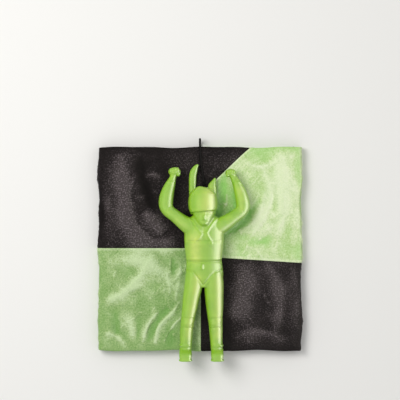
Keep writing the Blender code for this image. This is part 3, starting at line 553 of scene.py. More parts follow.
def foldNoise(x, y, look):
    # many soft folds in random directions, each dying out and coming back
    draw = np.random.default_rng(look["seed"])
    total = np.zeros_like(x)
    for _ in range(look["lines"]):
        angle, side = draw.uniform(0, math.pi, 2)
        wave = look["wave"] * draw.uniform(0.6, 1.7)
        phase = draw.uniform(0, 2 * math.pi, 4)
        across = x * math.cos(angle) + y * math.sin(angle)
        along = -x * math.sin(angle) + y * math.cos(angle)
        bend = look["warp"] * (np.sin(along / (0.9 * wave) + phase[0])
                               + 0.5 * np.sin(along / (0.37 * wave) + phase[3]))
        t = (across + bend) / wave + phase[1]
        crest = 1 - np.abs(2 * (t - np.floor(t)) - 1)
        patch = 0.5 + 0.5 * np.sin((x * math.cos(side) + y * math.sin(side)) / (0.75 * wave) + phase[2])
        total += crest ** look["sharp"] * patch ** 1.5
    return look["height"] * total / (0.26 * look["lines"])


mapMarks = np.arange(-wrinkles["mapHalf"], wrinkles["mapHalf"], wrinkles["mapStep"])
mapX, mapY = np.meshgrid(mapMarks, mapMarks)


ridge = {
    "step": 0.004, "reach": 2.6,        # how finely its path is cut, and how many widths it is felt
    "taper": 0.7, "wobble": 0.22, "wobbleRun": 0.0031, "wobblePhase": 9000,
    "narrow": 0.0015, "narrowPower": 1.4, "power": 1.7,
}


def addRidge(total, path, height, width, lean):
    # adds a ridge along a curved path: steeper on one side, lower towards both ends
    points = smoothPath([(px, py, 0.0) for px, py in path], ridge["step"])[:, :2]
    runs = runsAlong(points)
    far = ridge["reach"] * width * max(1.0, lean)
    low, high = points.min(0) - far, points.max(0) + far
    columns = slice(*np.searchsorted(mapMarks, (low[0], high[0])))
    rows = slice(*np.searchsorted(mapMarks, (low[1], high[1])))
    x, y = mapX[rows, columns], mapY[rows, columns]
    best = np.full(x.shape, np.inf)
    offset, place = np.zeros_like(x), np.zeros_like(x)
    for (ax, ay), (bx, by), run in zip(points, points[1:], runs):
        dx, dy = bx - ax, by - ay
        length = math.hypot(dx, dy)
        t = np.clip(((x - ax) * dx + (y - ay) * dy) / length ** 2, 0, 1)
        ex, ey = x - ax - t * dx, y - ay - t * dy
        away = np.hypot(ex, ey)
        nearer = away < best
        best = np.where(nearer, away, best)
        offset = np.where(nearer, np.sign(ex * dy - ey * dx) * away, offset)
        place = np.where(nearer, (run + t * length) / runs[-1], place)
    wide = np.where(offset > 0, width, width * lean)
    taper = np.sin(math.pi * np.clip(place, 0, 1)) ** ridge["taper"]
    wave = np.sin(place * runs[-1] / ridge["wobbleRun"] + ridge["wobblePhase"] * width)
    wobble = 1 + ridge["wobble"] * wave
    power = ridge["power"] if width > ridge["narrow"] else ridge["narrowPower"]
    total[rows, columns] += height * taper * wobble * np.exp(-np.abs(offset / wide) ** power)


def addPinches(total):
    # short sharp creases, thickest where the cloth is pressed beside the parachutist
    look = wrinkles["pinches"]
    draw = np.random.default_rng(look["seed"])
    for cx, cy, reach, count, turn in look["places"]:
        for _ in range(count):
            x, y = np.array((cx, cy)) * packHalf + draw.normal(0, reach * packHalf, 2)
            length, angle = draw.uniform(*look["length"]), turn + draw.normal(0, look["turn"])
            bow = draw.uniform(-look["bow"], look["bow"]) * length
            ux, uy = math.cos(angle), math.sin(angle)
            path = [(x + ux * length * t - uy * bow * (1 - 4 * t * t), y + uy * length * t
                     + ux * bow * (1 - 4 * t * t)) for t in (-0.5, 0.0, 0.5)]
            if max(abs(px) for p in path for px in p) < packHalf - look["margin"]:
                addRidge(total, path, *(draw.uniform(*look[word]) for word in ("height", "width", "lean")))


namedFolds = np.zeros_like(mapX)
for path, tall, wide, lean in wrinkles["folds"]:
    addRidge(namedFolds, np.array(path) / 100 * packHalf, tall * 0.001, wide * 0.001, lean)


def frontRise(x, y):
    # how far the front stands above its flat place
    total = namedFolds.copy()
    addPinches(total)
    for word in ("crumple", "crease", "fine"):
        total += foldNoise(x, y, wrinkles[word])
    edge = np.minimum(slabHalf + wrinkles["pastSides"] - np.abs(x),
                      packHalf + wrinkles["pastEnds"] - np.abs(y))
    total *= np.clip(edge / wrinkles["edgeFade"], wrinkles["edgeShare"], 1.0)
    beside = (np.abs(x - figureX) - wrinkles["figureReach"]) / wrinkles["figureFade"]
    room = wrinkles["roomUnderFigure"]
    room = room + (wrinkles["roomElsewhere"] - room) * np.clip(beside, 0.0, 1.0)
    total = np.maximum(room * np.tanh(total / room), wrinkles["deepest"])
    (cx, cy), (hx, hy) = contact["centre"], contact["half"]
    clear = np.maximum(np.abs(x - cx) - hx, np.abs(y - cy) - hy) / contact["fade"]
    return total * np.clip(clear, 0.0, 1.0)


def underRise(x, y):
    low = foldNoise(x, y, wrinkles["under"])
    low = np.maximum(low - wrinkles["underQuiet"] * wrinkles["under"]["height"], 0.0)
    rim = np.minimum(slabHalf - np.abs(x), packHalf - np.abs(y)) - wrinkles["underRim"]
    return (low + foldNoise(x, y, wrinkles["underCrease"])) * np.clip(rim / wrinkles["underFade"], 0.0, 1.0)


def creaseMap(rise):
    # above zero on creases, below zero in the hollows beside them; the cloth paints creases paler as painted
    # highlights and the hollows darker as painted shade
    cells = round(wrinkles["creaseReach"] / wrinkles["mapStep"])
    around = sum(np.roll(rise, shift, axis) for shift in (-cells, cells) for axis in (0, 1)) / 4
    share = (rise - around) / wrinkles["creaseFull"]
    return np.sign(share) * np.clip(np.abs(share) - wrinkles["creaseIgnored"], 0.0, 1.0)


def swellMap(rise):
    # above zero where the cloth as a whole stands high, below zero where it lies low; the cloth paints the
    # high cloth lighter as a painted sheen and the low cloth darker as painted shade
    cells = round(wrinkles["swellReach"] / wrinkles["mapStep"])
    for axis in (0, 1):
        for _ in range(2):
            rise = sum(np.roll(rise, shift, axis) for shift in range(-cells, cells + 1)) / (2 * cells + 1)
    inside = np.maximum(np.abs(mapX), np.abs(mapY)) < packHalf - wrinkles["underFade"]
    middle, spread = rise[inside].mean(), rise[inside].std()
    return np.clip((rise - middle) / (wrinkles["swellFull"] * spread), -1.0, 1.0)


riseMaps = {"front": frontRise(mapX, mapY), "under": underRise(mapX, mapY)}
creaseMaps = {word: creaseMap(rise) for word, rise in riseMaps.items()}
crumpling = wrinkles["swellShare"] * (riseMaps["front"] - namedFolds)
swellMaps = {"front": swellMap(namedFolds + crumpling), "under": swellMap(riseMaps["under"])}
print("wrinkles mapped")


def readMap(values, x, y):
    last = len(mapMarks) - 1.001
    column = np.clip((x + wrinkles["mapHalf"]) / wrinkles["mapStep"], 0, last)
    row = np.clip((y + wrinkles["mapHalf"]) / wrinkles["mapStep"], 0, last)
    c, r = column.astype(int), row.astype(int)
    fc, fr = column - c, row - r
    low = values[r, c] * (1 - fc) + values[r, c + 1] * fc
    high = values[r + 1, c] * (1 - fc) + values[r + 1, c + 1] * fc
    return low * (1 - fr) + high * fr


def sidePleats(y, z, side):
    # how far the cloth that goes round the packet's sides stands out
    look = wrinkles["pleats"]
    return foldNoise(y + wrinkles["pleatShift"] * side, 1.7 * z, look) - 0.5 * look["height"]


def edgeWave(along, waves, twist=0.0):
    (longWave, longPhase), (shortWave, shortPhase) = waves
    short = np.sin(along / shortWave + twist + shortPhase)
    return np.sin(along / longWave + longPhase) + wrinkles["shortShare"] * short - wrinkles["inward"]


def crumple(x, y, z):
    # x and y from the packet's middle; the same move for every layer in the packet
    low = packHeight - 2.5 * layer
    upper = np.clip((z - low) / (packHeight - halfPly - low), 0.0, 1.0)
    lower = np.clip(1 - (z - halfPly) / flapHeight, 0.0, 1.0)
    newZ = z + upper * readMap(riseMaps["front"], x, y) + lower * readMap(riseMaps["under"], x, y)
    side, height = np.sign(x), wrinkles["edgeWave"]
    out = height * edgeWave(y, wrinkles["sway"], wrinkles["twist"] * side) + sidePleats(y, z, side)
    newX = x + side * out * (np.abs(x) / packHalf) ** 6
    newY = y + np.sign(y) * height * edgeWave(x, wrinkles["nod"]) * (np.abs(y) / packHalf) ** 8
    return newX, newY, newZ


def clothPoint(side, s, v, lift=0.0):
    # where a point of the flat canopy lies in the packet; s across from the middle, v along
    y, depth, turn = foldAlong(v, lift)
    x, z = foldAcross(s, depth)
    y = y + np.where(turn == 0, seamDrift(side * np.minimum(s, slabHalf), y), 0.0)
    x, y, z = crumple(side * x, y, z)
    return np.stack([x, y + canopy["centreY"], z], axis=-1)


def spans(*stretches):
    # values over stretches of (start, end, step), each end once
    values = []
    for start, end, step in stretches:
        count = max(1, round(abs(end - start) / step))
        values += [start + (end - start) * i / count for i in range(count)]
    return np.array(values + [stretches[-1][1]])


def gridMesh(name, points, flat, marks):
    # a smooth surface over a grid of points, with the flat cloth as its UV map
    rows, columns = points.shape[:2]
    index = np.arange(rows * columns).reshape(rows, columns)
    faces = np.stack([index[:-1, :-1], index[:-1, 1:], index[1:, 1:], index[1:, :-1]], axis=-1)
    mesh = bpy.data.meshes.new(name)
    mesh.from_pydata(points.reshape(-1, 3).tolist(), [], faces.reshape(-1, 4).tolist())
    layerUv = mesh.uv_layers.new(name="flat")
    corners = np.empty(len(mesh.loops), int)
    mesh.loops.foreach_get("vertex_index", corners)
    layerUv.data.foreach_set("uv", flat.reshape(-1, 2)[corners].ravel())
    for word, values in marks.items():
        mesh.attributes.new(word, "FLOAT", "POINT").data.foreach_set("value", values.ravel())
    mesh.shade_smooth()
    return mesh


def joinRings(bm, rings, closed=False):
    # a skin through rings of points, capped unless its last ring meets the first
    rings = [[bm.verts.new(point) for point in ring] for ring in rings]
    for low, high in zip(rings, rings[1:] + ([rings[0]] if closed else [])):
        for k in range(len(low)):
            bm.faces.new((low[k - 1], low[k], high[k], high[k - 1]))
    if not closed:
        bm.faces.new(rings[0][::-1])
        bm.faces.new(rings[-1])


def meshFrom(bm, name):
    mesh = bpy.data.meshes.new(name)
    bm.to_mesh(mesh)
    bm.free()
    mesh.shade_smooth()
    return mesh


def readPoints(mesh, word="co"):
    # the places of a mesh's vertices, or their normals
    values = np.empty(len(mesh.vertices) * 3)
    mesh.vertices.foreach_get(word, values)
    return values.reshape(-1, 3)


def addPiece(name, mesh, material):
    mesh.materials.clear()
    mesh.materials.append(material)
    return addObject(name, mesh)


def addWall(piece, thickness):
    wall = piece.modifiers.new("cloth thickness", "SOLIDIFY")
    wall.thickness = thickness
    wall.offset = 0.0


def clothRows(end, start, stop):
    # values of v, fine on the front and round the edge fold, coarser behind
    radius = layer / 2 if end > 0 else layer
    front = packHalf - radius - halfPly
    bend = front + math.pi * radius
    step = canopy["frontStep"]
    rows = spans((start, front, step), (front, bend, radius / 2), (bend, stop, 8 * step))
    return end * rows


def clothColumns():
    # shares of the front, then values of s beyond it
    step = canopy["frontStep"]
    front = spans((0.0, 1.0, step / slabHalf))
    flapStart = slabHalf + canopy["spineRun"]
    roll = flapStart + firstRun
    end = edgeRun - canopy["tapeWidth"] + canopy["tapeLap"]
    beyond = spans((slabHalf, flapStart, canopy["sideStep"]), (flapStart, roll, 2 * step),
                   (roll, roll + rollRun, canopy["rollStep"]), (roll + rollRun, end, 10 * step))
    return front, beyond[1:]


def makePanel(name, side, end, isGreen, material):
    # one quarter of the canopy, from the middle seams to its taped edges
    lap, spine = canopy["seamLap"], canopy["spineRun"]
    rows = clothRows(end, -lap, canopy["panelWidth"] - canopy["tapeWidth"] + canopy["tapeLap"])
    front, beyond = clothColumns()
    v = rows[:, None]
    inner = side * seamX(v) - lap
    s = np.concatenate([inner + (slabHalf - inner) * front[None, :],
                        np.broadcast_to(beyond[None, :], (len(rows), len(beyond)))], axis=1)
    v = np.broadcast_to(v, s.shape)
    seam = np.minimum(s - side * seamX(v), v * end)
    beside = np.clip(1.6 - seam / canopy["seamReach"], 0.0, 1.0)
    near = beside * beside * (3 - 2 * beside)
    doubled = np.clip((canopy["seamAllowance"] - seam) / canopy["allowanceEdge"], 0.0, 1.0)
    lift = -near * canopy["seamTuck"]
    if isGreen:
        lift = near * canopy["seamRise"] + doubled * canopy["allowanceRise"]
    points = clothPoint(side, s, v, lift)
    x, y = points[..., 0], points[..., 1] - canopy["centreY"]
    onFront = (s < slabHalf + spine / 2) & (np.abs(v) < packHalf)
    under = wrinkles["underShare"]
    # the crest and swell marks, which the cloth paints as painted highlight and painted shade
    marks = {word: np.where(onFront, readMap(maps["front"], x, y), under * readMap(maps["under"], x, y))
             for word, maps in (("crest", creaseMaps), ("swell", swellMaps))}
    onSide = np.clip(1.2 - np.abs(s - slabHalf - spine / 2) / (spine / 2), 0.0, 1.0)
    # on the packet's sides the swell follows the pleats, painted as highlight and shade
    pleat = wrinkles["pleatTone"] * sidePleats(y, points[..., 2], side) / wrinkles["pleats"]["height"]
    marks["swell"] = marks["swell"] * (1 - onSide) + onSide * np.clip(pleat, -0.8, 1.0)
    # a painted highlight along the seam's edge on green cloth
    if isGreen:
        marks["crest"] = np.maximum(marks["crest"], canopy["seamPale"] * beside)
    flat = np.stack([0.5 + side * s / canopy["side"], 0.5 + v / canopy["side"]], axis=-1)
    if side * end < 0:
        points, flat = points[:, ::-1], flat[:, ::-1]
        marks = {word: values[:, ::-1] for word, values in marks.items()}
    panel = addPiece(name, gridMesh(name, points, flat, marks), material)
    addWall(panel, canopy["cloth"])
    return panel


# Round strands: cords, lines, knots and loops

def strandMesh(name, path, radius, look, closed=False):
    # a tube whose strands are laid round it, or braided when look has a braid
    ahead = np.roll(path, -1, 0) - np.roll(path, 1, 0)
    if not closed:
        ahead[0], ahead[-1] = path[1] - path[0], path[-1] - path[-2]
    ahead /= np.linalg.norm(ahead, axis=1)[:, None]
    normal = np.empty_like(path)
    first = np.cross(ahead[0], (0.0, 0.0, 1.0))
    if np.linalg.norm(first) < 0.1:
        first = np.cross(ahead[0], (1.0, 0.0, 0.0))
    for i in range(len(path)):
        first = first - ahead[i] * (first @ ahead[i])
        first /= np.linalg.norm(first)
        normal[i] = first
    other = np.cross(ahead, normal)
    runs = runsAlong(path)
    theta = 2 * math.pi * np.arange(look["sides"]) / look["sides"]
    lay = 2 * math.pi * runs[:, None] / look["pitch"]
    around = look["strands"] * theta[None, :]
    if look.get("braid"):
        wave = np.maximum(np.cos(around + lay), np.cos(around - lay))
    else:
        wave = np.cos(around + lay)
    r = radius * (1 - look["depth"] * (0.5 - 0.5 * wave))
    points = (path[:, None, :] + r[:, :, None] * (np.cos(theta)[None, :, None] * normal[:, None, :]
                                                  + np.sin(theta)[None, :, None] * other[:, None, :]))
    bm = bmesh.new()
    joinRings(bm, points, closed)
    bmesh.ops.recalc_face_normals(bm, faces=bm.faces)
    return meshFrom(bm, name)


# Geometry Nodes: what repeats, such as stitches and the cells of a net

def runTree(name, data, tree, values):
    # runs the tree once on the data and keeps the result as a plain mesh piece
    source = addObject(name + " source", data)
    modifier = source.modifiers.new(name, "NODES")
    modifier.node_group = tree
    for item in tree.interface.items_tree:
        if item.in_out == "INPUT" and item.name in values:
            modifier[item.identifier] = values[item.name]
    bpy.context.view_layer.update()
    mesh = bpy.data.meshes.new_from_object(source.evaluated_get(bpy.context.evaluated_depsgraph_get()))
    source.modifiers.remove(modifier)
    bpy.data.objects.remove(source, do_unlink=True)
    mesh.name = name
    return addObject(name, mesh)


def closeTree(tree, end, instances, material):
    # the ending of both trees
    real = addNode(tree, "GeometryNodeRealizeInstances", Geometry=instances)
    fill(tree, end["Geometry"], addNode(tree, "GeometryNodeSetMaterial", Geometry=real, Material=material))
    return tree


def vector(tree, **parts):
    return addNode(tree, "ShaderNodeCombineXYZ", **parts)


# Parachutist: lofts and lumps made one skin, then the moulded lines

mould = {
    "voxel": 0.00043, "soften": 4, "softenShare": 0.5, "sides": 36, "power": 2.3,
    "slimmest": 0.9,            # share of the slimmer neighbour that a section keeps
    "bootPower": 3.4, "knuckleBow": 0.004,
    "height": 0.122, "reliefDepth": 0.0038, "reliefWidth": 0.0062, "partingRise": 0.00007,
    "barDiameter": 0.0020,
}


def shares(table):
    # the tables have thousandths of the parachutist's height
    return {name: np.array(rows) / 1000 for name, rows in table.items()}


# Stations: x and y from the middle of the soles, z from the back, half width, half depth
limbs = shares({
    "torso": (
        (0, 851, 86, 40, 34), (0, 828, 86, 75, 45), (0, 805, 87, 98, 51), (0, 764, 88, 109, 58),
        (0, 718, 89, 113, 61), (0, 661, 87, 111, 60), (0, 609, 86, 105, 56), (0, 575, 85, 101, 53),
        (2, 534, 84, 105, 55), (3, 489, 82, 107, 54), (2, 454, 80, 92, 49), (0, 425, 79, 52, 40)),
    "legLeft": (
        (-51, 546, 83, 47, 46), (-55, 489, 82, 52, 51), (-61, 431, 79, 52, 51), (-73, 368, 75, 48, 48),
        (-82, 305, 70, 44, 44), (-91, 253, 67, 40, 41), (-96, 213, 64, 38, 40), (-101, 167, 61, 37, 39),
        (-103, 92, 54, 34, 36), (-106, 46, 51, 34, 36)),
    "legRight": (
        (53, 546, 83, 47, 46), (55, 489, 82, 53, 51), (57, 431, 79, 55, 51), (59, 368, 75, 52, 48),
        (62, 305, 70, 48, 44), (64, 253, 67, 43, 41), (67, 213, 64, 40, 40), (69, 167, 61, 38, 39),
        (72, 92, 54, 34, 36), (75, 46, 51, 34, 36)),
    "armLeft": (
        (-49, 759, 88, 46, 44), (-86, 776, 88, 48, 45), (-124, 801, 87, 41, 41), (-163, 832, 85, 36, 39),
        (-201, 861, 82, 36, 37), (-217, 890, 79, 40, 36), (-218, 925, 77, 41, 36), (-211, 962, 74, 38, 33),
        (-199, 1000, 71, 32, 30), (-189, 1026, 69, 26, 26), (-180, 1050, 68, 19, 21),
        (-174, 1072, 68, 17, 19), (-172, 1088, 68, 13, 14)),
    "armRight": (
        (49, 756, 88, 46, 44), (86, 772, 88, 48, 45), (130, 798, 87, 43, 41), (172, 828, 85, 38, 39),
        (209, 856, 82, 37, 37), (224, 887, 79, 40, 36), (220, 925, 77, 39, 36), (210, 962, 74, 36, 33),
        (196, 1001, 71, 30, 30), (183, 1030, 69, 24, 26), (171, 1052, 68, 20, 21), (161, 1070, 68, 17, 19),
        (155, 1082, 68, 13, 14)),
    "prongLeft": (
        (-55, 845, 44, 22, 20), (-63, 908, 36, 21, 17), (-66, 971, 32, 20, 15), (-66, 1029, 31, 21, 14),
        (-64, 1069, 31, 21, 14), (-56, 1095, 31, 19, 13), (-45, 1116, 31, 12, 11), (-33, 1129, 31, 5, 7)),
    "prongRight": (
        (46, 845, 44, 22, 20), (52, 908, 36, 21, 17), (50, 971, 32, 23, 15), (47, 1004, 31, 24, 14),
        (56, 1029, 31, 14, 13), (65, 1052, 31, 5, 7)),
    "helmet": (
        (-4, 1000, 112, 20, 14), (-5, 993, 110, 39, 30), (-6, 971, 106, 66, 52), (-6, 948, 100, 79, 66),
        (-6, 920, 96, 84, 75), (-5, 891, 96, 84, 77), (-4, 874, 97, 81, 78), (-3, 862, 97, 78, 77)),
    "face": (
        (-3, 885, 98, 67, 62), (-2, 862, 99, 66, 63), (-1, 839, 101, 61, 62), (0, 816, 104, 51, 59),
        (1, 799, 110, 41, 53), (1, 785, 117, 30, 43), (1, 776, 124, 15, 28)),
})
# Centre and half sizes of rounded lumps
lumps = shares({
    "palmLeft": ((-169, 1087, 67), (36, 26, 26)),
    "palmRight": ((154, 1080, 67), (33, 24, 26)),
    "thumbLeft": ((-147, 1076, 80), (12, 16, 11)),
    "thumbRight": ((135, 1070, 80), (11, 15, 11)),
    "nose": ((1, 826, 160), (10, 17, 10)),
    "chin": ((1, 791, 150), (20, 12, 13)),
    "kneeLeft": ((-94, 222, 93), (28, 30, 14)),
    "kneeRight": ((66, 222, 93), (30, 30, 14)),
    "buckle": ((-11, 543, 136), (10, 19, 9)),
    "packFlap": ((0, 746, 10), (64, 40, 12)),
})
fingers = shares({
    # first and last of four fingers, half size of one
    "left": ((-192, 1092, 80), (-150, 1098, 80), (8.2, 15, 13)),
    "right": ((134, 1086, 80), (174, 1084, 80), (7.8, 14, 13)),
})
# Boots: z from the back, lower and upper y, half width; the middle of each boot in x
boots = shares({
    "middles": (-106, 76),
    "upper": ((6, 10, 56, 24), (16, 10, 78, 32), (40, 10, 90, 35), (66, 10, 84, 35), (86, 10, 68, 36),
              (104, 10, 56, 36), (117, 10, 46, 32), (124, 10, 34, 22)),
    "sole": ((2, 0, 14, 26), (8, 0, 14, 34), (44, 0, 14, 37), (50, 4, 14, 36), (66, 4, 14, 36),
             (73, 0, 14, 38), (104, 0, 14, 39), (119, 0, 14, 34), (126, 0, 14, 24)),
    "cuff": ((14, 83, 98, 22), (24, 83, 98, 32), (52, 83, 98, 36.5), (80, 83, 98, 32), (91, 83, 98, 22)),
})
backPack = shares({"centre": (0, 718, 24), "half": (75, 80, 24), "round": 14})
napeBar = shares({"y": 983, "z": 22, "ends": (-64, 52)})
# Moulded lines: share of the depth (below zero is a groove), share of the width, points
frontLines = (
    # lapels: in to the breastbone and out again
    (1.2, 1.1, ((-83, 818), (-63, 799), (-37, 764), (-14, 731), (-29, 707), (-51, 686))),
    (1.2, 1.1, ((74, 818), (55, 799), (34, 770), (15, 738), (24, 716), (43, 684))),
    (-0.9, 1.5, ((0, 775), (0, 745))),                          # hollow of the neck
    (-0.5, 1.8, ((-2, 712), (-2, 700))),
    (-0.7, 0.7, ((-92, 691), (0, 689), (92, 691))),
    (0.5, 2.0, ((-104, 672), (0, 670), (104, 672))),            # chest strap
    (0.8, 1.2, ((-101, 590), (0, 588), (101, 590))),            # belt
    (-1.2, 0.9, ((-104, 573), (0, 571), (104, 573))),
    (-1.1, 0.8, ((-104, 530), (-66, 518), (-40, 489), (-8, 441))),
    (-1.1, 0.8, ((108, 526), (62, 514), (34, 486), (0, 441))),
    (-0.6, 0.8, ((-134, 250), (-54, 244))),                     # knee pads
    (-0.6, 0.8, ((-136, 196), (-60, 190))),
    (-0.6, 0.8, ((22, 244), (112, 250))),
    (-0.6, 0.8, ((26, 190), (108, 196))),
    (-1.0, 0.9, ((-36, 850), (-14, 849))),                      # eyes and mouth
    (-1.0, 0.9, ((16, 849), (38, 850))),
    (-0.9, 0.6, ((-14, 806), (15, 806))),
    (-0.5, 0.5, ((-218, 862), (-190, 894))),                    # sleeve creases
    (-0.5, 0.5, ((196, 892), (226, 862))),
    (0.6, 0.8, ((-218, 1024), (-160, 1030))),                   # cuffs
    (0.6, 0.8, ((150, 1032), (212, 1024))),
)
backLines = (
    (-1.0, 0.8, ((-60, 706), (60, 706))),                       # the pack's flap and its ties
    (-0.7, 0.7, ((-30, 780), (-30, 650))),
    (-0.7, 0.7, ((30, 780), (30, 650))),
    (0.9, 1.2, ((-101, 590), (101, 590))),
    (-0.9, 0.8, ((-104, 573), (104, 573))),
    (-0.9, 0.8, ((-100, 470), (-40, 448), (0, 440))),
    (-0.9, 0.8, ((104, 470), (44, 448), (0, 440))),
    (-0.7, 0.7, ((-130, 224), (-60, 220))),
    (-0.7, 0.7, ((28, 220), (108, 224))),
)
# Painted highlights along the front, pale streaks where light would fall on the torso, legs, helmet and
# arms: strength, half width, points
highlightMarks = (
    (0.80, 36, ((-54, 700), (-50, 600))),
    (0.35, 20, ((92, 740), (94, 600))),
    (0.60, 24, ((-36, 480), (-46, 380), (-68, 260), (-88, 150))),
    (0.60, 24, ((84, 480), (88, 380), (84, 260), (84, 150))),
    (0.75, 44, ((30, 960), (26, 890))),
    (0.40, 20, ((214, 880), (222, 930), (205, 985))),
    (0.25, 20, ((-160, 805), (-120, 775))),
)
soleY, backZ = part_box("figure")[0][1:]


def onFigure(x, y, z):
    tall = mould["height"]
    return figureX + x * tall, soleY + y * tall, backZ + z * tall


def squareRound(wide, deep, power):
    turns = 2 * math.pi * np.arange(mould["sides"]) / mould["sides"]
    c, s = np.cos(turns), np.sin(turns)
    return (wide * np.sign(c) * np.abs(c) ** (2 / power), deep * np.sign(s) * np.abs(s) ** (2 / power))


def limbRings(stations):
    # sections that stand square to the path through the stations
    path, rings = stations[:, :2], []
    for i, (x, y, z, wide, deep) in enumerate(stations):
        heading = path[min(i + 1, len(path) - 1)] - path[max(i - 1, 0)]
        heading /= np.linalg.norm(heading)
        across, out = squareRound(wide, deep, mould["power"])
        rings.append([onFigure(x + heading[1] * a, y - heading[0] * a, z + b) for a, b in zip(across, out)])
    return rings


def bootRings(stations, middle):
    rings = []
    for z, low, high, wide in stations:
        across, up = squareRound(wide, (high - low) / 2, mould["bootPower"])
        rings.append([onFigure(middle + a, (low + high) / 2 + b, z) for a, b in zip(across, up)])
    return rings


def smoothStations(stations, cuts=3):
    # more stations on a smooth curve through the given ones
    found = curveThrough(stations, lambda b, c: cuts)
    slimmer = np.repeat(np.minimum(stations[:-1], stations[1:]), cuts, axis=0)
    found[:-1, 3:] = np.maximum(found[:-1, 3:], slimmer[:, 3:] * mould["slimmest"])
    return found


def fit(made, centre, half):
    for vert in made["verts"]:
        vert.co = onFigure(*(c + h * v for c, h, v in zip(centre, half, vert.co)))


def addLump(bm, centre, half, segments=28):
    made = bmesh.ops.create_uvsphere(bm, u_segments=segments, v_segments=segments // 2, radius=1.0)
    fit(made, centre, half)


def figureShells():
    bm = bmesh.new()
    for stations in limbs.values():
        joinRings(bm, limbRings(smoothStations(stations)))
    for middle in boots["middles"]:
        for part in ("upper", "sole", "cuff"):
            joinRings(bm, bootRings(boots[part], middle))
    for centre, half in lumps.values():
        addLump(bm, centre, half)
    for first, last, half in fingers.values():
        for t in (i / 3 for i in range(4)):
            x, y, z = (a + (b - a) * t for a, b in zip(first, last))
            addLump(bm, (x, y + mould["knuckleBow"] * math.sin(math.pi * t), z), half, 20)
    made = bmesh.ops.create_cube(bm, size=2.0)
    fit(made, backPack["centre"], backPack["half"])
    edges = list({edge for vert in made["verts"] for edge in vert.link_edges})
    bmesh.ops.bevel(bm, geom=edges, offset=backPack["round"] * mould["height"], segments=5,
                    profile=0.5, affect="EDGES")
    low, high = (onFigure(x, napeBar["y"], napeBar["z"]) for x in napeBar["ends"])
    radius = mould["barDiameter"] / 2
    made = bmesh.ops.create_cone(bm, segments=24, radius1=radius, radius2=radius, depth=high[0] - low[0],
                                 cap_ends=True)
    for vert in made["verts"]:
        x, y, z = vert.co
        vert.co = ((low[0] + high[0]) / 2 + z, low[1] + y, low[2] - x)
    bmesh.ops.recalc_face_normals(bm, faces=bm.faces)
    return meshFrom(bm, "figure shells")


def distanceToLine(x, y, points):
    best, points = np.full(x.shape, np.inf), np.array(points) / 1000
    for (ax, ay), (bx, by) in zip(points, points[1:]):
        dx, dy = bx - ax, by - ay
        t = np.clip(((x - ax) * dx + (y - ay) * dy) / (dx * dx + dy * dy), 0, 1)
        best = np.minimum(best, np.hypot(x - ax - t * dx, y - ay - t * dy))
    return best


def lineRise(x, y, table):
    rise = np.zeros(x.shape)
    for tall, wide, points in table:
        away = distanceToLine(x, y, points) / (wide * mould["reliefWidth"])
        rise += tall * np.exp(-(away ** 2))
    return rise


def pressRelief(mesh):
    points, normals = readPoints(mesh), readPoints(mesh, "normal")
    x = (points[:, 0] - figureX) / mould["height"]
    y = (points[:, 1] - soleY) / mould["height"]
    up = normals[:, 2]
    rise = lineRise(x, y, frontLines) * np.clip(up * 2, 0, 1)
    rise += lineRise(x, y, backLines) * np.clip(-up * 2, 0, 1)
    # painted highlights along the front, kept as an attribute that the plastic reads
    flow = np.zeros(x.shape)
    for strength, wide, line in highlightMarks:
        flow = np.maximum(flow, strength * np.exp(-(distanceToLine(x, y, line) / (wide / 1000)) ** 2))
    mesh.attributes.new("flow", "FLOAT", "POINT").data.foreach_set("value", flow * np.clip(up * 2, 0, 1))
    rise *= mould["reliefDepth"] * mould["height"]
    rise += mould["partingRise"] * np.exp(-(up / 0.09) ** 2)
    points += normals * rise[:, None]
    points[:, 1] = np.maximum(points[:, 1], soleY)
    points[:, 2] = np.maximum(points[:, 2], backZ)
    mesh.vertices.foreach_set("co", points.ravel())
    mesh.update()


def makeFigure(material):
    guide = addObject("figure guide", figureShells())
    skin = guide.modifiers.new("one skin", "REMESH")
    skin.mode = "VOXEL"
    skin.voxel_size = mould["voxel"]
    soften = guide.modifiers.new("soft mould", "SMOOTH")
    soften.factor = mould["softenShare"]
    soften.iterations = mould["soften"]
    bpy.context.view_layer.update()
    mesh = bpy.data.meshes.new_from_object(guide.evaluated_get(bpy.context.evaluated_depsgraph_get()))
    bpy.data.objects.remove(guide, do_unlink=True)
    pressRelief(mesh)
    mesh.name = "parachutist_moulding"
    mesh.shade_smooth()
    return addPiece("parachutist_moulding", mesh, material)


# Materials

materials = {name: makeCloth(name, look) for name, look in cloths.items()}
materials["lime plastic"] = makePlastic("lime plastic", plastic)
materials.update({name: makeYarn(name, *look) for name, look in yarns.items()})
print("materials made")

# Canopy panels. Each quarter is named by its tone, its end and its side, and has its cloth.

quarters = {
    "black_head_left": "black cloth",
    "green_head_right": "green cloth",
    # the foot-left green quarter takes the green cloth painted darker, as painted shade
    "green_foot_left": "deep green cloth",
    "black_foot_right": "black cloth",
}
ends, sides = {"head": 1, "foot": -1}, {"left": -1, "right": 1}
made = {}


def settle(piece, slot, *nodes):
    # the nodes of the imported model that the piece stands for, if any, which are hidden; slot is not used
    if nodes:
        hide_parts(*nodes)
    made[piece.name] = piece


def rideOn(piece, body, slot, *nodes):
    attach(piece, body)
    settle(piece, slot, *nodes)


def foldWith(piece, hand, slot, *nodes):
    # a piece that lies across the fold line of one side third
    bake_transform(piece)
    settle(piece, slot, *nodes)


for quarter, cloth in quarters.items():
    shade, end, hand = quarter.split("_")
    panel = makePanel("canopy_" + quarter, sides[hand], ends[end], shade == "green", materials[cloth])
    foldWith(panel, hand, shade + "_cloth", "panel_" + quarter, "flap_" + quarter)
print("panels made")

# Binding tape along the canopy's edges

tapeEdge = {"cuts": 5, "weld": 0.00001, "round": 0.3, "roundCuts": 2}


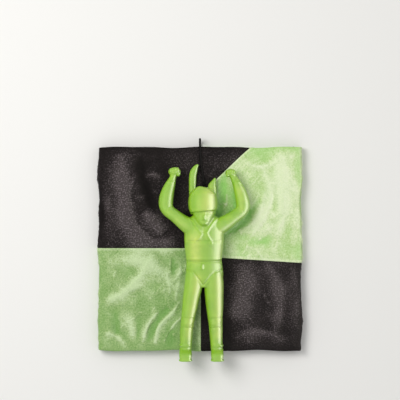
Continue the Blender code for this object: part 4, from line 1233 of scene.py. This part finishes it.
def makeTape(name, side, end):
    # two strips: along the head or foot edge, and along the side edge, meeting at the corner
    wide, whole = canopy["tapeWidth"], canopy["panelWidth"]
    across = np.concatenate([spans((0.0, slabHalf, 2 * canopy["frontStep"])), clothColumns()[1], [edgeRun]])
    along = end * spans((whole - wide, whole, wide / tapeEdge["cuts"]))
    rows = clothRows(end, 0.0, whole - wide)
    columns = spans((edgeRun - wide, edgeRun, wide / tapeEdge["cuts"]))
    bm = bmesh.new()
    uv = bm.loops.layers.uv.new("flat")
    for s, v in (np.meshgrid(across, along), np.meshgrid(columns, rows)):
        grid = [[bm.verts.new(p) for p in row] for row in clothPoint(side, s, v)]
        for r in range(len(grid) - 1):
            for c in range(len(grid[0]) - 1):
                corners = [(r, c), (r, c + 1), (r + 1, c + 1), (r + 1, c)]
                if side * end < 0:
                    corners = corners[::-1]
                face = bm.faces.new([grid[i][j] for i, j in corners])
                for loop, (i, j) in zip(face.loops, corners):
                    loop[uv].uv = (0.5 + side * s[i, j] / canopy["side"], 0.5 + v[i, j] / canopy["side"])
    bmesh.ops.remove_doubles(bm, verts=bm.verts, dist=tapeEdge["weld"])
    tape = addPiece(name, meshFrom(bm, name), materials["hem tape"])
    addWall(tape, canopy["tapeThickness"])
    soft = tape.modifiers.new("rounded edge", "BEVEL")
    soft.width = canopy["tapeThickness"] * tapeEdge["round"]
    soft.segments = tapeEdge["roundCuts"]
    soft.limit_method = "ANGLE"
    return tape


for quarter in quarters:
    shade, end, hand = quarter.split("_")
    corner = end + "_" + hand
    tape = makeTape("tape_" + corner, sides[hand], ends[end])
    foldWith(tape, hand, "hem_tape", "hem_" + end, "hem_" + corner, "hem_side_" + hand)
print("tapes made")

# Stitches: one row on the green side of each seam, and two on the tapes

stitches = {"inset": 0.0013, "above": 0.00020, "start": 0.002, "pitch": 0.0026, "length": 0.0019,
            "radius": 0.00013, "askew": 0.09, "seed": 3}


def makeStitchTree():
    # arched threads, each a little askew, one after the other along curves
    askew = stitches["askew"]
    tree, start, end = newTree("GeometryNodeTree", "stitch rows", (
        ("Geometry", "Geometry"), ("Pitch", "Float", 0.0026), ("Stitch Length", "Float", 0.0019),
        ("Thread Radius", "Float", 0.00014), ("Seed", "Int", 3), ("Material", "Material")),
        (("Geometry", "Geometry"),))
    points = addNode(tree, "GeometryNodeCurveToPoints", {"mode": "LENGTH"},
                     Curve=start["Geometry"], Length=start["Pitch"]).outputs
    half = calc(tree, "MULTIPLY", start["Stitch Length"], 0.5)
    thread = addNode(tree, "GeometryNodeCurvePrimitiveLine",
                     Start=vector(tree, Z=calc(tree, "MULTIPLY", half, -1.0)), End=vector(tree, Z=half))
    cut = addNode(tree, "GeometryNodeResampleCurve", Curve=thread, Count=5)
    factor = addNode(tree, "GeometryNodeSplineParameter").outputs["Factor"]
    fat = calc(tree, "SINE", calc(tree, "MULTIPLY", factor, math.pi))
    radius = calc(tree, "MULTIPLY", calc(tree, "MULTIPLY_ADD", fat, 0.55, 0.45), start["Thread Radius"])
    ring = addNode(tree, "GeometryNodeCurvePrimitiveCircle", Resolution=6, Radius=1.0)
    tube = addNode(tree, "GeometryNodeCurveToMesh", Curve=cut, Profile_Curve=ring,
                   Scale=radius, Fill_Caps=True)
    turn = addNode(tree, "FunctionNodeRandomValue", {"data_type": "FLOAT_VECTOR"}, Seed=start["Seed"],
                   Min=(-askew, -askew, 0.0), Max=(askew, askew, 0.0))
    lean = addNode(tree, "FunctionNodeEulerToRotation", Euler=turn.outputs["Value"])
    mixed = addNode(tree, "FunctionNodeRotateRotation", {"rotation_space": "LOCAL"},
                    Rotation=points["Rotation"], Rotate_By=lean)
    placed = addNode(tree, "GeometryNodeInstanceOnPoints", Points=points["Points"],
                     Instance=tube, Rotation=mixed)
    return closeTree(tree, end, placed, start["Material"])


stitchTree = makeStitchTree()


def stitchRows(side, end, onSeam):
    # lines of s and v that the stitches of one panel follow
    start, inset, middle = stitches["start"], stitches["inset"], canopy["tapeWidth"] / 2
    across = np.concatenate([spans((start, slabHalf, canopy["frontStep"])), clothColumns()[1]])
    along = clothRows(end, start, canopy["panelWidth"] - canopy["tapeWidth"])
    if onSeam:
        return [(side * seamX(along) + inset, along), (across, np.full(across.shape, end * inset))]
    return [(np.full(along.shape, edgeRun - middle), along),
            (across, np.full(across.shape, end * (canopy["panelWidth"] - middle)))]


def makeStitches(name, side, end, onSeam, thread):
    curve = bpy.data.curves.new(name, "CURVE")
    curve.dimensions = "3D"
    for s, v in stitchRows(side, end, onSeam):
        points = clothPoint(side, s, v, np.full(s.shape, stitches["above"]))
        spline = curve.splines.new("POLY")
        spline.points.add(len(points) - 1)
        spline.points.foreach_set("co", np.concatenate([points, np.ones((len(points), 1))], 1).ravel())
    piece = runTree(name, curve, stitchTree, {
        "Pitch": stitches["pitch"], "Stitch Length": stitches["length"],
        "Thread Radius": stitches["radius"], "Seed": stitches["seed"], "Material": materials[thread]})
    piece.data.shade_smooth()
    return piece


for quarter in quarters:
    shade, end, hand = quarter.split("_")
    if shade == "green":
        seam = makeStitches("seam_stitches_" + quarter, sides[hand], ends[end], True, "green thread")
        foldWith(seam, hand, "green_cloth")
    bound = makeStitches("tape_stitches_" + quarter, sides[hand], ends[end], False, "black thread")
    foldWith(bound, hand, "hem_tape")
print("stitches made")

# Nets of the skirt, packed in the middle

net = {"cell": 0.0030, "gap": 0.00145, "swing": 0.00135, "loose": 0.00005, "radius": 0.00014, "seed": 7}


def makeNetTree():
    # zigzag strands side by side: neighbours touch at their turns, which leaves six-sided cells
    tree, start, end = newTree("GeometryNodeTree", "net", (
        ("Geometry", "Geometry"), ("Cell", "Float", 0.0030), ("Strand Gap", "Float", 0.0014),
        ("Strand Points", "Int", 90), ("Strand Pairs", "Int", 18), ("Swing", "Float", 0.0013),
        ("Strand Radius", "Float", 0.00013), ("Seed", "Int", 7), ("Material", "Material")),
        (("Geometry", "Geometry"),))
    ring = addNode(tree, "GeometryNodeCurvePrimitiveCircle", Resolution=5, Radius=start["Strand Radius"])
    joined = addNode(tree, "GeometryNodeJoinGeometry")
    for odd in (0.0, 1.0):
        step = vector(tree, Y=calc(tree, "MULTIPLY", start["Cell"], 0.5))
        row = addNode(tree, "GeometryNodeMeshLine", Count=start["Strand Points"], Offset=step)
        index = calc(tree, "ADD", addNode(tree, "GeometryNodeInputIndex"), odd)
        sway = calc(tree, "MULTIPLY", calc(tree, "PINGPONG", index, 1.0), start["Swing"])
        loose = addNode(tree, "FunctionNodeRandomValue", {"data_type": "FLOAT"}, Seed=start["Seed"],
                        Min=-net["loose"], Max=net["loose"])
        bent = addNode(tree, "GeometryNodeSetPosition", Geometry=row,
                       Offset=vector(tree, X=sway, Z=loose.outputs["Value"]))
        curve = addNode(tree, "GeometryNodeMeshToCurve", Mesh=bent)
        tube = addNode(tree, "GeometryNodeCurveToMesh", Curve=curve,
                       Profile_Curve=ring, Fill_Caps=True)
        first = vector(tree, X=calc(tree, "MULTIPLY", start["Strand Gap"], odd))
        apart = vector(tree, X=calc(tree, "MULTIPLY", start["Strand Gap"], 2.0))
        places = addNode(tree, "GeometryNodeMeshLine", Count=start["Strand Pairs"], Offset=apart,
                         Start_Location=first)
        placed = addNode(tree, "GeometryNodeInstanceOnPoints", Points=places,
                         Instance=tube)
        fill(tree, joined.inputs[0], placed)
    return closeTree(tree, end, joined, start["Material"])


netTree = makeNetTree()


def makeNet(node):
    low, high = np.array(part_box(node))
    size, centre = high - low, (low + high) / 2
    turned = size[0] > size[1]
    length, width = (size[0], size[1]) if turned else (size[1], size[0])
    piece = runTree("skirt_" + node, bpy.data.meshes.new(node + " start"), netTree, {
        "Cell": net["cell"], "Strand Gap": net["gap"], "Strand Points": int(length / (net["cell"] / 2)) + 1,
        "Strand Pairs": int((width - net["swing"]) / (2 * net["gap"])), "Swing": net["swing"],
        "Strand Radius": net["radius"], "Seed": net["seed"], "Material": materials["net yarn"]})
    points = readPoints(piece.data)
    points -= (points.min(0) + points.max(0)) / 2
    if turned:
        points = np.stack([points[:, 1], -points[:, 0], points[:, 2]], -1)
    x, y, z = crumple(points[:, 0] + centre[0], points[:, 1] + centre[1] - canopy["centreY"],
                      points[:, 2] + centre[2])
    piece.data.vertices.foreach_set("co", np.stack([x, y + canopy["centreY"], z], -1).ravel())
    piece.data.update()
    rideOn(piece, "canopy_pack", "net", node)


for word in ("head", "foot", "left", "right"):
    makeNet("net_" + word)
print("nets made")

# Suspension lines, each on a hairpin between the nets

lines = {
    "diameter": 0.0007, "spacing": 0.0052, "margin": 0.0101, "aSide": 4,
    "z": 0.0054, "fromFootEdge": 0.011,
    "look": {"strands": 2, "pitch": 0.0022, "depth": 0.22, "sides": 8},
    "step": 0.00033, "turnStep": 0.004,
}

def makeLine(word, i):
    step, turn, edge = i * lines["spacing"], lines["spacing"], slabHalf - lines["margin"]
    outer, inner = edge - step, canopy["channelHalf"] + lines["spacing"] + step
    top = canopy["centreY"] + edge - step
    low = canopy["centreY"] - packHalf + lines["fromFootEdge"] + lines["spacing"] + step
    route = ((outer, low), (outer, top - turn), (outer - turn, top), (inner + turn, top),
             (inner, top - turn), (inner, low))
    path = evenPath([(sides[word] * x, y, lines["z"]) for x, y in route], lines["turnStep"])
    path = evenPath(smoothPath(path, lines["step"]), lines["step"])
    label = "line_%s_%d" % (word, i + 1)
    mesh = strandMesh("suspension_" + label, path, lines["diameter"] / 2, lines["look"])
    piece = addPiece("suspension_" + label, mesh, materials["line yarn"])
    rideOn(piece, "canopy_pack", "suspension_line", label)


for word in sides:
    for i in range(lines["aSide"]):
        makeLine(word, i)
print("lines made")

# Knots and the loop at the nape

def knotPath(low, high, radius, steps):
    # a closed overhand knot that fills its box, clear of the walls by the strand's radius
    t = np.linspace(0, 2 * math.pi, steps, endpoint=False)
    knot = np.stack([np.sin(t) + 2 * np.sin(2 * t), np.cos(t) - 2 * np.cos(2 * t), -1.6 * np.sin(3 * t)], -1)
    knot /= np.abs(knot).max(0)
    return (low + high) / 2 + knot * ((high - low) / 2 - radius)


def loopPath(low, high, radius, steps):
    turns = np.linspace(0, 2 * math.pi, steps, endpoint=False)
    ring = (high[1] - low[1] - 2 * radius) / 2
    return (low + high) / 2 + ring * np.stack([0 * turns, np.cos(turns), np.sin(turns)], -1)


knots = {
    # where there is no radius, half the box's width is taken
    "gathering_knot": {
        "node": "gather_knot", "yarn": "line yarn", "body": "canopy_pack", "slot": "suspension_line",
        "path": knotPath, "radius": 0.00052, "steps": 120,
        "look": {"strands": 3, "pitch": 0.0018, "depth": 0.18, "sides": 10}},
    "nape_knot": {
        "node": "tether_knot", "yarn": "cord yarn", "body": "parachutist", "slot": "tether_cord",
        "path": knotPath, "radius": 0.00044, "steps": 110,
        "look": {"strands": 4, "pitch": 0.0021, "depth": 0.16, "sides": 10, "braid": True}},
    "nape_loop": {
        "node": "tether_loop", "yarn": "cord yarn", "body": "parachutist", "slot": "tether_cord",
        "path": loopPath, "steps": 72,
        "look": {"strands": 2, "pitch": 0.0018, "depth": 0.18, "sides": 10}},
}


def makeKnot(name, knot):
    low, high = np.array(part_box(knot["node"]))
    radius = knot.get("radius", (high[0] - low[0]) / 2)
    path = knot["path"](low, high, radius, knot["steps"])
    mesh = strandMesh(name, path, radius, knot["look"], closed=True)
    rideOn(addPiece(name, mesh, materials[knot["yarn"]]), knot["body"], knot["slot"], knot["node"])


for name, knot in knots.items():
    makeKnot(name, knot)
print("knots made")

# Tether, from the gathering knot to the nape

tether = {
    "diameter": 0.0016,
    "bendRadius": 0.0040, "bendCuts": 40,
    # from the knot on the canopy, along the channel under the packet, to its head edge
    "route": ((0.0000, -0.0554, 0.00195), (0.0001, -0.0450, 0.00192), (0.0003, -0.0300, 0.00188),
              (-0.0002, -0.0120, 0.00190), (-0.0003, 0.0080, 0.00192), (0.0002, 0.0280, 0.00190),
              (0.0003, 0.0480, 0.00190), (0.0001, 0.0640, 0.00192), (0.0000, 0.0756, 0.00195)),
    "look": {"strands": 4, "pitch": 0.0042, "depth": 0.16, "sides": 20, "braid": True},
    "step": 0.0003, "clear": 0.0001,
}


def tetherPath():
    # round the head edge on a half circle, then over the top to the knot at the nape
    y, z = hinges["tether_lift"][1:]
    radius, step, clear = tether["bendRadius"], tether["step"], tether["clear"]
    turns = np.linspace(0.0, math.pi, tether["bendCuts"])
    bend = np.stack([0 * turns, y + radius * np.sin(turns), z - radius * np.cos(turns)], -1)
    low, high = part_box("tether_outer")
    lowZ = (low[2] + high[2]) / 2
    start = (0.0, y - step, z + radius)
    end = (high[0] - tether["diameter"] / 2, low[1] - clear, lowZ + clear)
    middle = ((start[0] + (low[0] + high[0]) / 2) / 2, (start[1] + end[1]) / 2, lowZ)
    inner, outer = smoothPath(tether["route"], step), smoothPath([start, middle, end], step)
    return evenPath(np.concatenate([inner, bend[1:], outer[1:]]), step)


def makeTether(*tied):
    path, radius = tetherPath(), tether["bendRadius"]
    piece = addPiece("tether", strandMesh("tether", path, tether["diameter"] / 2, tether["look"]),
                     materials["cord yarn"])
    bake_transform(piece)
    settle(piece, "tether_cord", "tether_inner", "tether_bend", "tether_outer")


makeTether(made["nape_knot"], made["nape_loop"])
print("tether made")

# Parachutist

rideOn(makeFigure(materials["lime plastic"]), "parachutist", "lime_plastic", "figure")
print("parachutist made")

# Each quarter's name split into its tone, end and side, with nothing more done

for quarter in quarters:
    shade, end, hand = quarter.split("_")

# Floor

ground = {"half": 3.0, "height": -0.0002, "look": {"Roughness": 0.8, "Base Color": tone(236, 236, 234)}}


def makeFloor():
    mesh, half = bpy.data.meshes.new("floor"), ground["half"]
    mesh.from_pydata([(-half, -half, 0), (half, -half, 0), (half, half, 0), (-half, half, 0)], [],
                     [(0, 1, 2, 3)])
    floor = addPiece("floor", mesh, newMaterial("pale floor", ground["look"])[0])
    floor.location.z = ground["height"]


makeFloor()
bpy.context.scene.view_settings.view_transform = "Standard"
print("scene done")
